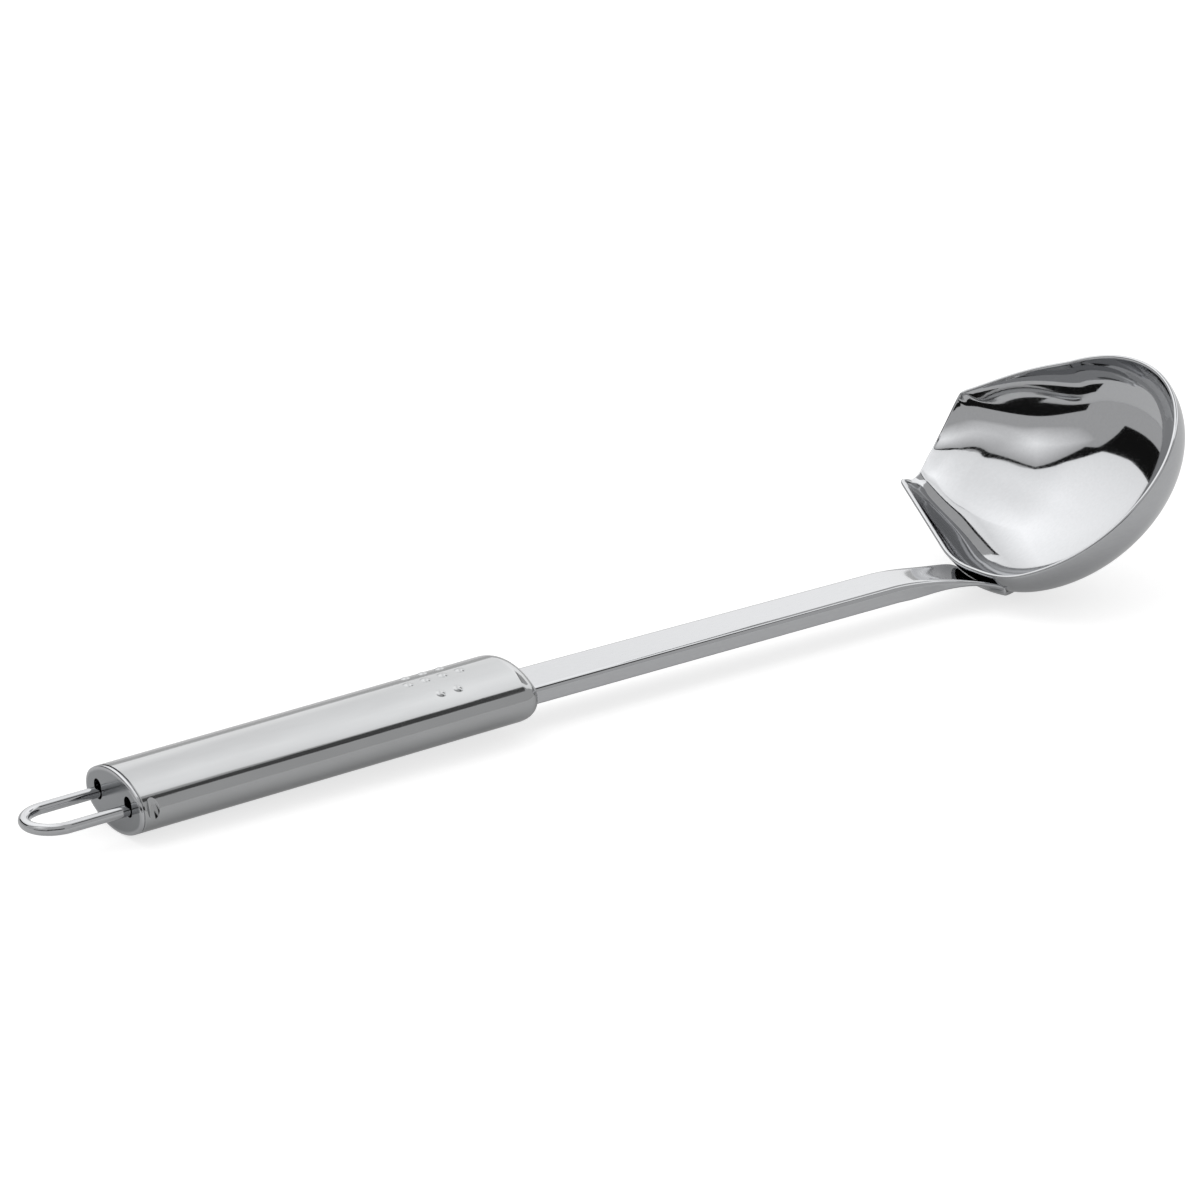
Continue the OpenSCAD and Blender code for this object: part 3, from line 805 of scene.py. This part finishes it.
class LADLE_OT_handle_tube(bpy.types.Operator):
    """Make the oval grip tube with its slot and its two crimp marks"""

    bl_idname = "ladle.handle_tube"
    bl_label = "Grip tube"

    def execute(self, context):
        ladle = Ladle(context.scene)
        material = shared(satin_steel, context.scene.ladle_finish)
        wall = ladle.tube_wall
        inner_x = ladle.tube_len - wall
        outside = round_edge(ladle.tube_len, 0, ladle.shoulder_r, 1, 20)
        inside = round_edge(inner_x, wall, ladle.shoulder_r - wall, 1, 20)
        profile = outside + [(REAR_CHAMFER, 0), (0, REAR_CHAMFER), (0, wall)] + inside[::-1]
        tube = closed_piece("grip_tube", oval_rings(ladle, profile), (ladle.tube_len, 0, 0), (inner_x, 0, 0))
        cutters = [neck_slot(ladle), crimp_lens(ladle, -CRIMP_TURN), crimp_lens(ladle, CRIMP_TURN)]
        shade(cut_away(tube, cutters), crease=32)
        finish_piece(tube, "handle_tube", material)
        return {"FINISHED"}


def dot_tree(ladle, material):
    """Geometry nodes: a line of balls for each row of dots. The inputs are in millimetres, and say how far
    apart the dots are, their balls' radius, how far the balls lie from the middle of the top's arc, the
    height of that middle, and where the rows have their middle."""
    tree = bpy.data.node_groups.new("raised_dots", "GeometryNodeTree")
    face = tree.interface
    face.new_socket(name="Geometry", in_out="INPUT", socket_type="NodeSocketGeometry")
    for name in ("Pitch", "Ball radius", "Sink radius", "Arc height", "Middle"):
        face.new_socket(name=name, in_out="INPUT", socket_type="NodeSocketFloat")
    face.new_socket(name="Geometry", in_out="OUTPUT", socket_type="NodeSocketGeometry")
    given = add(tree, "NodeGroupInput").outputs
    joined = add(tree, "GeometryNodeJoinGeometry")
    for side, count in DOT_ROWS:
        turn = math.asin(side / ladle.top_r)
        half = add(
            tree, "ShaderNodeMath", {"operation": "MULTIPLY"}, {0: given["Pitch"], 1: (count - 1) / 2}
        )
        start = add(
            tree, "ShaderNodeMath", {"operation": "SUBTRACT"}, {0: given["Middle"], 1: half.outputs[0]}
        )
        left = add(
            tree, "ShaderNodeMath", {"operation": "MULTIPLY"}, {0: given["Sink radius"], 1: math.sin(turn)}
        )
        up = add(
            tree,
            "ShaderNodeMath",
            {"operation": "MULTIPLY_ADD"},
            {0: given["Sink radius"], 1: math.cos(turn), 2: given["Arc height"]},
        )
        first = add(
            tree, "ShaderNodeCombineXYZ", inputs={0: start.outputs[0], 1: left.outputs[0], 2: up.outputs[0]}
        )
        step = add(tree, "ShaderNodeCombineXYZ", inputs={0: given["Pitch"]})
        row = add(
            tree,
            "GeometryNodeMeshLine",
            {"mode": "OFFSET"},
            {"Count": count, "Start Location": first.outputs[0], "Offset": step.outputs[0]},
        )
        tree.links.new(row.outputs[0], joined.inputs[0])
    dot = add(
        tree,
        "GeometryNodeMeshUVSphere",
        inputs={"Segments": DOT_SIDES, "Rings": DOT_SIDES, "Radius": given["Ball radius"]},
    )
    smooth_dot = add(tree, "GeometryNodeSetShadeSmooth", inputs={0: dot.outputs[0]})
    placed = add(
        tree,
        "GeometryNodeInstanceOnPoints",
        inputs={"Points": joined.outputs[0], "Instance": smooth_dot.outputs[0]},
    )
    real = add(tree, "GeometryNodeRealizeInstances", inputs={0: placed.outputs[0]})
    painted = add(tree, "GeometryNodeSetMaterial", inputs={0: real.outputs[0], "Material": material})
    add(tree, "NodeGroupOutput", inputs={0: painted.outputs[0]})
    return tree


class LADLE_OT_raised_dots(bpy.types.Operator):
    """Make the raised dots near the front of the grip"""

    bl_idname = "ladle.raised_dots"
    bl_label = "Raised dots"

    def execute(self, context):
        ladle = Ladle(context.scene)
        material = shared(satin_steel, context.scene.ladle_finish)
        ball_r = (ladle.dot_w ** 2 / 4 + ladle.dot_h ** 2) / (2 * ladle.dot_h)
        dots = new_object("raised_dots", [], [])
        tree = dot_tree(ladle, material)
        sizes = {
            "Pitch": ladle.dot_pitch,
            "Ball radius": ball_r,
            "Sink radius": ladle.top_r + ladle.dot_h - ball_r,
            "Arc height": ladle.top_z,
            "Middle": ladle.tube_len - ladle.dots_back,
        }
        modifier = dots.modifiers.new("dots", "NODES")
        modifier.node_group = tree
        for item in tree.interface.items_tree:
            if item.in_out == "INPUT" and item.name in sizes:
                modifier[item.identifier] = float(sizes[item.name])
        bpy.context.view_layer.update()
        baked(dots)
        if not len(dots.data.vertices):
            raise RuntimeError("the raised dots have no points")
        c, s = cos(REST_TURN), sin(REST_TURN)
        turned = Matrix(((c, 0, -s, 0), (0, 1, 0, 0), (s, 0, c, 0), (0, 0, 0, 1)))
        dots.data.transform(Matrix.Scale(MM, 4) @ Matrix.Translation(REST_MOVE) @ turned)
        dots.data.update()
        dots.data.materials.clear()
        dots.data.materials.append(material)
        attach(dots, "root")
        return {"FINISHED"}


def cap_slot(ladle, middle, sides=48):
    """Cutter for one upright slot in the cap, with round ends. middle is its place across the cap."""
    slot_w = ladle.wire_d + SLOT_PLAY
    straight = ladle.slot_h - slot_w
    outline = []
    for i in range(sides):
        a = 360 * (i + 0.5) / sides
        shift = math.copysign(straight / 2, sin(a))
        outline.append((middle + slot_w / 2 * cos(a), ladle.slot_z + shift + slot_w / 2 * sin(a)))
    ends = (-ladle.cap_proud - 1, ladle.cap_depth + 1)
    return closed_piece("cap_slot", [[(x, y, z) for y, z in outline] for x in ends])


class LADLE_OT_end_cap(bpy.types.Operator):
    """Make the cap in the rear end of the tube, with its two upright slots"""

    bl_idname = "ladle.end_cap"
    bl_label = "End cap"

    def execute(self, context):
        ladle = Ladle(context.scene)
        material = shared(cap_steel, context.scene.ladle_finish)
        front = -ladle.cap_proud
        plug = ladle.tube_wall + ladle.cap_clearance
        skirt = plug + ladle.cap_sheet
        edge = round_edge(front, 0, ladle.cap_edge_r, -1, 12)
        profile = [(ladle.cap_inner_x, skirt), (ladle.cap_depth, skirt), (ladle.cap_depth, plug), (0, plug)]
        profile += [(0, ladle.seam_depth), (-ladle.seam_w, ladle.seam_depth), (-ladle.seam_w, 0)]
        profile += edge[::-1] + [(front, ladle.cap_edge_r + BUFF_FADE)]
        cap = closed_piece(
            "end_cap_shell", oval_rings(ladle, profile), (ladle.cap_inner_x, 0, 0), (front, 0, 0)
        )
        cut_away(cap, [cap_slot(ladle, side) for side in (-ladle.loop_r, ladle.loop_r)])
        self.mark_buffed(cap, ladle)
        shade(cap, crease=32)
        finish_piece(cap, "end_cap", material)
        return {"FINISHED"}

    def mark_buffed(self, cap, ladle, margin_in=0.05, margin_back=0.02):
        """Gives each point the attribute buffed: 1 on the rounded edge and 0 on the flat face. The margins
        in mm, towards the middle and behind the face, are for rounding."""
        mesh = cap.data
        places = np.zeros(len(mesh.vertices) * 3)
        mesh.vertices.foreach_get("co", places)
        p = places.reshape(-1, 3) / MM - np.array(REST_MOVE)
        c, s = cos(REST_TURN), sin(REST_TURN)
        x = p[:, 0] * c + p[:, 2] * s
        y, z = np.abs(p[:, 1]), -p[:, 0] * s + p[:, 2] * c
        top = ladle.top_r - np.hypot(y, np.abs(z) - ladle.top_z)
        end = ladle.tube_side_r - np.hypot(y - ladle.side_y, z)
        inset = np.where(np.degrees(np.arctan2(y, np.abs(z) - ladle.top_z)) < ladle.arc_turn, top, end)
        on_edge = (inset < ladle.cap_edge_r + margin_in) | (x > -ladle.cap_proud + margin_back)
        attribute = mesh.attributes.new("buffed", "FLOAT", "POINT")
        attribute.data.foreach_set("value", np.where(on_edge, 1.0, 0.0).astype(np.float32))


def loop_path(ladle, foot_steps=12, leg_steps=9, turn_steps=64):
    """Pairs of x and y along the middle of the wire, from the left foot round to the right one."""
    foot_r = ladle.wire_d * FOOT_BEND
    bend_x = ladle.cap_inner_x + FOOT_START
    foot_end = ladle.tube_w / 2 - ladle.tube_wall - ladle.cap_clearance - ladle.cap_sheet - FOOT_GAP
    left = [(bend_x + foot_r, foot_end)]
    for i in range(foot_steps + 1):
        a = 90 - 90 * i / foot_steps
        left.append((bend_x + foot_r * sin(a), ladle.loop_r + foot_r - foot_r * cos(a)))
    for i in range(1, leg_steps):
        left.append((mix(bend_x, -ladle.loop_x, i / leg_steps), ladle.loop_r))
    turn = []
    for i in range(turn_steps + 1):
        a = 180 * i / turn_steps
        turn.append((-ladle.loop_x - ladle.loop_r * sin(a), ladle.loop_r * cos(a)))
    return np.array(left + turn + [(x, -y) for x, y in left[::-1]])


class LADLE_OT_hanging_loop(bpy.types.Operator):
    """Make the wire loop, with the two feet that hold it behind the cap"""

    bl_idname = "ladle.hanging_loop"
    bl_label = "Hanging loop"

    def execute(self, context):
        ladle = Ladle(context.scene)
        material = shared(polished_steel, context.scene.ladle_finish)
        path = loop_path(ladle)
        way = unit(np.gradient(path, axis=0))
        sides = 40
        rings = []
        for (x, y), (way_x, way_y) in zip(path, way):
            ring = []
            for i in range(sides):
                a = 360 * i / sides
                out = ladle.wire_r * cos(a)
                ring.append((x - way_y * out, y + way_x * out, ladle.wire_r * sin(a)))
            rings.append(ring)
        loop = closed_piece("wire_loop", rings)
        finish_piece(shade(loop, crease=50), "hanging_loop", material)
        return {"FINISHED"}


# The neck

def half_section(w, h, r, sheet, edge_steps=8, across=6):
    """Half outline of the neck's section, as pairs of side and down: its top, its rounded edge, its folded
    side with a broken foot, and the underside of its sheet."""
    foot = 0.3
    side = min(sheet, w / 3)
    fold = min(0.6, w / 6)
    out = [(mix(0, w - r, i / across), 0) for i in range(across)]
    for i in range(edge_steps + 1):
        a = 90 * i / edge_steps
        out.append((w - r + r * sin(a), r - r * cos(a)))
    out += [(w, h - foot), (w - foot, h), (w - side, h), (w - side - fold / 3, mix(h, sheet, 0.75))]
    out += [(mix(w - side - fold, 0, i / across), sheet) for i in range(across + 1)]
    return out


def section(w, h, r, sheet):
    """The neck's section, an open channel w to each side and h high."""
    half = half_section(w, h, r, sheet)
    return [(-a, b) for a, b in half] + [half[i] for i in range(len(half) - 2, 0, -1)]


def straight_rings(ladle, steps=24):
    """Rings of the neck inside the tube, and from there to its bend, where it narrows."""
    full = section(ladle.neck_w / 2, ladle.neck_h, ladle.neck_edge_r, ladle.neck_sheet)
    slim = section(ladle.neck_front_w / 2, ladle.neck_h, ladle.neck_edge_r, ladle.neck_sheet)
    places = [(x, 0) for x in np.linspace(ladle.tube_len - ladle.neck_insert, ladle.tube_len, 3)]
    places += [(mix(ladle.tube_len, ladle.neck_bend_x, k / steps), k / steps) for k in range(1, steps)]
    rings = []
    for x, t in places:
        top = ladle.neck_top_z - (x - ladle.tube_len) * ladle.neck_slope
        rings.append([(x, mix(a[0], b[0], t), top - mix(a[1], b[1], t)) for a, b in zip(full, slim)])
    return rings


def bend_curve(ladle):
    """Gives the function from 0 to 1 for the points between the straight neck and the tab's start."""
    start = np.array([ladle.neck_bend_x, 0, ladle.neck_top_z - ladle.neck_len * ladle.neck_slope])
    end = wall_point(ladle, ladle.tab_from, 0, ladle.tab_gap)
    start_way = np.array([cos(ladle.neck_droop), 0, -sin(ladle.neck_droop)])
    end_way = unit(
        wall_point(ladle, ladle.tab_from - 1, 0, ladle.tab_gap)
        - wall_point(ladle, ladle.tab_from + 1, 0, ladle.tab_gap)
    )
    size = np.linalg.norm(end - start)

    def bend_at(t):
        return (
            (2 * t ** 3 - 3 * t ** 2 + 1) * start
            + (3 * t ** 2 - 2 * t ** 3) * end
            + size * (t ** 3 - 2 * t ** 2 + t) * start_way
            + size * BEND_END_PULL * (t ** 3 - t ** 2) * end_way
        )

    return bend_at


def bend_rings(ladle, steps=64, nudge=0.001):
    """Rings round the bend, where the channel thins, widens and cups to the bowl."""
    bend_at = bend_curve(ladle)
    rings = []
    for k in range(steps):
        t = k / steps
        thin = smooth((t - THIN_FROM) / BEND_CHANGE)
        wide = smooth((t - WIDEN_FROM) / BEND_CHANGE)
        outline = section(
            mix(ladle.neck_front_w, ladle.tab_w, wide) / 2,
            mix(ladle.neck_h, ladle.tab_sheet, thin),
            mix(ladle.neck_edge_r, TAB_EDGE_R, smooth(t)),
            mix(ladle.neck_sheet, ladle.tab_sheet, thin),
        )
        way = unit(bend_at(t + nudge) - bend_at(t - nudge))
        up = np.array([-way[2], 0, way[0]])
        ring = []
        for side, down in outline:
            cup = smooth(t) * side * side / (2 * ladle.bowl_r)
            ring.append(bend_at(t) + np.array([0, side, 0]) + (cup - down) * up)
        rings.append(ring)
    return rings


def tab_rings(ladle, steps=48):
    """Rings of the flat tab, which follows the bowl's outer wall to its tip."""
    rings = []
    for k in range(steps + 1):
        t = k / steps
        half_w = mix(TAB_TIP_W, ladle.tab_w, (1 - t) ** TAB_TAPER) / 2
        outline = np.array(section(half_w, ladle.tab_sheet, TAB_EDGE_R, ladle.tab_sheet))
        side, down = outline[:, 0], outline[:, 1]
        lat = np.full(len(side), mix(ladle.tab_from, ladle.tab_to, t))
        rings.append(wall_point(ladle, lat, side, (ladle.tab_gap + down)[:, None]))
    return rings


class LADLE_OT_neck(bpy.types.Operator):
    """Make the neck, its bend and the flattened tab under the bowl"""

    bl_idname = "ladle.neck"
    bl_label = "Neck"

    def execute(self, context):
        ladle = Ladle(context.scene)
        material = shared(polished_steel, context.scene.ladle_finish)
        neck = closed_piece("pressed_neck", straight_rings(ladle) + bend_rings(ladle) + tab_rings(ladle))
        finish_piece(shade(neck, crease=28), "neck", material)
        return {"FINISHED"}


# The bowl

def bowl_turns(ladle):
    """Directions round the bowl, closer together round the spout, with one on each of its corners."""
    far_corner, near_corner, half = ladle.far_corner, ladle.near_corner, ladle.spout_half
    stops = (-far_corner, near_corner, half, 360 - half, 360 - far_corner)
    counts = (72, 48, 168, 48)
    parts = [np.linspace(a, b, n, endpoint=False) for a, b, n in zip(stops, stops[1:], counts)]
    return np.concatenate(parts) + ladle.spout_middle


def bowl_rings(ladle, steps=64, rim_steps=12):
    """Rings from the bottom up the outer wall, over the rounded rim and down the inner wall. The walls end
    below the rim, each direction at its own latitude, to leave room for the rounding."""
    turns = bowl_turns(ladle)
    rim_r = ladle.bowl_sheet / 2
    rim = bowl_outer(ladle, turns, 90.0)
    far = np.array([np.linalg.norm(bowl_outer(ladle, turns, lat) - rim, axis=-1) for lat in WALL_ENDS])
    last = WALL_ENDS[(far > RIM_START * rim_r).sum(axis=0) - 1]
    lats = [last * step for step in np.arange(1, steps + 1) / steps]
    outer = [bowl_outer(ladle, turns, lat) for lat in lats]
    inner = [wall - ladle.bowl_sheet * bowl_out(ladle, turns, lat) for wall, lat in zip(outer, lats)]
    out = bowl_out(ladle, turns, 90.0)
    up = unit(rim - outer[-1])
    up = unit(up - (up * out).sum(axis=-1, keepdims=True) * out)
    middle = rim - rim_r * out - RIM_SINK * rim_r * up
    arc = np.linspace(0, 180, rim_steps + 1)
    round_rim = [middle + rim_r * (out * cos(a) + up * sin(a)) for a in arc]
    return [bowl_to_grip(ladle, ring) for ring in outer + round_rim + inner[::-1]]


class LADLE_OT_bowl(bpy.types.Operator):
    """Make the bowl with its pouring spout"""

    bl_idname = "ladle.bowl"
    bl_label = "Bowl"

    def execute(self, context):
        ladle = Ladle(context.scene)
        material = shared(polished_steel, context.scene.ladle_finish)
        root = bowl_to_grip(ladle, np.array([0, 0, -ladle.bowl_depth]))
        tip = bowl_to_grip(ladle, np.array([0, 0, ladle.bowl_sheet - ladle.bowl_depth]))
        bowl = closed_piece("pressed_bowl", bowl_rings(ladle), root, tip)
        finish_piece(shade(bowl, crease=60), "bowl", material)
        return {"FINISHED"}


# The studio

def direction(turn, height):
    return np.array([cos(height) * cos(turn), cos(height) * sin(turn), sin(height)])


def hide(piece, *kinds):
    """Hides a piece of the stage from kinds of rays, such as camera."""
    for kind in kinds:
        setattr(piece, "visible_" + kind, False)


def card(name, corners, distance, material, centre=None, only_mirrored=False, around=STUDIO_CENTRE):
    """A gently curved card, given by the directions of its corners as seen from the ladle. Its attribute
    inside is 1 in the middle and 0 at the edge. The camera doesn't see it."""
    edge = np.array([direction(*corner) for corner in corners])
    centre = unit(edge.sum(axis=0)) if centre is None else direction(*centre)
    points = []
    inside = []
    for share in (0.0, 0.25, 0.5, 0.75, 1.0):
        for way in unit(mix(centre, edge, share)):
            points.append(np.array(around) + distance * way)
            inside.append(1 - share)
    n = len(edge)
    faces = []
    for k in range(4):
        for i in range(n):
            j = (i + 1) % n
            faces.append((k * n + i, k * n + j, k * n + n + j, k * n + n + i))
    piece = new_object(name, points, faces)
    attribute = piece.data.attributes.new("inside", "FLOAT", "POINT")
    attribute.data.foreach_set("value", inside)
    piece.data.materials.append(material)
    hide(piece, "camera")
    if only_mirrored:
        hide(piece, "diffuse", "shadow")


def floor_shade_card(name, corners, material):
    """A thin black card that lies on the floor and only shows in the steel: painted shade of the floor, seen
    in its reflections.
    """
    piece = new_object(name, [(x, y, FLAT_CARD_RISE) for x, y in corners], [(0, 1, 2, 3)])
    piece.data.materials.append(material)
    hide(piece, "camera", "diffuse", "shadow")


class LADLE_OT_studio(bpy.types.Operator):
    """Make the white floor, the soft lights, the studio's grey walls and the camera"""

    bl_idname = "ladle.studio"
    bl_label = "Studio"

    def execute(self, context):
        finish = context.scene.ladle_finish
        self.floor(finish)
        self.walls(finish)
        self.lights()
        self.dark_cards()
        self.world(context.scene)
        self.camera(context.scene)
        return {"FINISHED"}

    def floor(self, finish):
        corners = [(x * FLOOR_SPAN, y * FLOOR_SPAN, 0) for x, y in ((-1, -1), (1, -1), (1, 1), (-1, 1))]
        floor = new_object("paper_floor", corners, [(0, 1, 2, 3)])
        floor.data.materials.append(floor_paper(finish))

    def walls(self, finish):
        """A round grey studio wall with a ceiling, open at the floor, which the camera doesn't see."""
        centre = np.array(STUDIO_CENTRE)
        rings = []
        for height in (-4, 0, 15, 30, 45, 60, 75):
            turns = [360 * i / WALL_SIDES for i in range(WALL_SIDES)]
            rings.append([centre + WALL_DISTANCE * direction(turn, height) for turn in turns])
        points, faces = ring_mesh(rings, None, centre + WALL_DISTANCE * direction(0, 90))
        del faces[-WALL_SIDES - 1]
        wall = new_object("studio_wall", points, faces)
        wall.data.materials.append(glow("grey_studio_wall", linear(finish.wall), middle=1.05, edge=1.05))
        hide(wall, "camera")

    def lights(self):
        """The lit cards, as strong in the middle and at the edge as their reflections need."""
        main_cloth = glow("softbox_cloth", WHITE, middle=1.85, edge=1.25)
        side_cloth = glow("side_softbox_cloth", WHITE, middle=1.75, edge=1.25)
        wall_glow = glow("wall_glow", WHITE, middle=1.45, edge=0.56)
        card("main_softbox", MAIN_SOFTBOX, 4.0, main_cloth, (92, 60))
        card("side_softbox", SIDE_SOFTBOX, 4.05, side_cloth, (30, 46))
        card("glow_card", GLOW_CARD, 3.8, wall_glow, (178, 46))

    def dark_cards(self):
        """The black and grey cards. Two of them hang just over the near wall of the spout. The black ones on
        the floor are painted shade of the floor, seen only in the steel.
        """
        black = glow("black_card", WHITE, middle=0.01, edge=0.01)
        dark_grey = glow("dark_grey_card", WHITE, middle=0.09, edge=0.09)
        grey = glow("grey_card", WHITE, middle=0.56, edge=0.56)
        for name, corners in DARK_CARDS.items():
            card(name, corners, DARK_DISTANCE, black)
        card("dark_card_side", DARK_CARD_SIDE, DARK_DISTANCE, dark_grey, only_mirrored=True)
        card("grey_card_above", GREY_CARD_ABOVE, 0.25, grey, (34, 54), True, NEAR_WALL)
        card("dark_card_above", DARK_CARD_ABOVE, 0.26, black, (48, 62), True, NEAR_WALL)
        # Painted shade of the floor: black cards that only the steel's reflections show
        for name, corners in FLOOR_SHADE_CARDS.items():
            floor_shade_card(name, corners, black)

    def world(self, scene):
        """A surround that is white for camera, glossy and transmission rays, and dimmer for the rest."""
        world = bpy.data.worlds.new("white_surround")
        world.use_nodes = True
        tree = world.node_tree
        tree.nodes.clear()
        path = add(tree, "ShaderNodeLightPath")
        seen = path.outputs["Is Camera Ray"]
        for kind in ("Is Glossy Ray", "Is Transmission Ray"):
            seen = add(
                tree, "ShaderNodeMath", {"operation": "MAXIMUM"}, {0: seen, 1: path.outputs[kind]}
            ).outputs[0]
        strength = add(tree, "ShaderNodeMapRange", inputs={"Value": seen, "To Min": 0.5, "To Max": 1.0})
        back = add(tree, "ShaderNodeBackground", inputs={"Color": WHITE, "Strength": strength.outputs[0]})
        add(tree, "ShaderNodeOutputWorld", inputs={"Surface": back.outputs[0]})
        scene.world = world
        scene.view_settings.view_transform = "Standard"

    def camera(self, scene):
        """A camera at the photograph's angle, as fitted to its outlines."""
        data = bpy.data.cameras.new("camera")
        data.lens = CAMERA_LENS
        data.sensor_width = CAMERA_SENSOR
        data.clip_start, data.clip_end = CAMERA_REACH
        camera = bpy.data.objects.new("camera", data)
        bpy.context.collection.objects.link(camera)
        back = [-v for v in CAMERA_VIEW]
        turned = Matrix((CAMERA_RIGHT, CAMERA_UP, back)).transposed().to_4x4()
        camera.matrix_world = Matrix.Translation(CAMERA_PLACE) @ turned
        scene.camera = camera


class LADLE_PT_panel(bpy.types.Panel):
    """The ladle's pieces and sizes, in the sidebar"""

    bl_idname = "LADLE_PT_panel"
    bl_label = "Sauce ladle"
    bl_space_type = "VIEW_3D"
    bl_region_type = "UI"
    bl_category = "Ladle"

    def draw(self, context):
        for piece in PIECES:
            self.layout.operator(piece.bl_idname)
        for name in GROUPS:
            values = getattr(context.scene, name)
            box = self.layout.box()
            for key in own_keys(values):
                box.prop(values, key)


PIECES = (
    LADLE_OT_handle_tube,
    LADLE_OT_raised_dots,
    LADLE_OT_end_cap,
    LADLE_OT_hanging_loop,
    LADLE_OT_neck,
    LADLE_OT_bowl,
    LADLE_OT_studio,
)
GROUPS = {
    "ladle_grip": LADLE_grip_sizes,
    "ladle_neck": LADLE_neck_sizes,
    "ladle_bowl": LADLE_bowl_sizes,
    "ladle_finish": LADLE_finish,
}


def register():
    for group in (*GROUPS.values(), *PIECES, LADLE_PT_panel):
        bpy.utils.register_class(group)
    for name, group in GROUPS.items():
        setattr(bpy.types.Scene, name, PointerProperty(type=group))


def unregister():
    for name in GROUPS:
        delattr(bpy.types.Scene, name)
    for group in (LADLE_PT_panel, *reversed(PIECES), *reversed(list(GROUPS.values()))):
        bpy.utils.unregister_class(group)


def main():
    register()
    for piece in PIECES:
        family, name = piece.bl_idname.split(".")
        getattr(getattr(bpy.ops, family), name)()


if __name__ == "__main__":
    main()
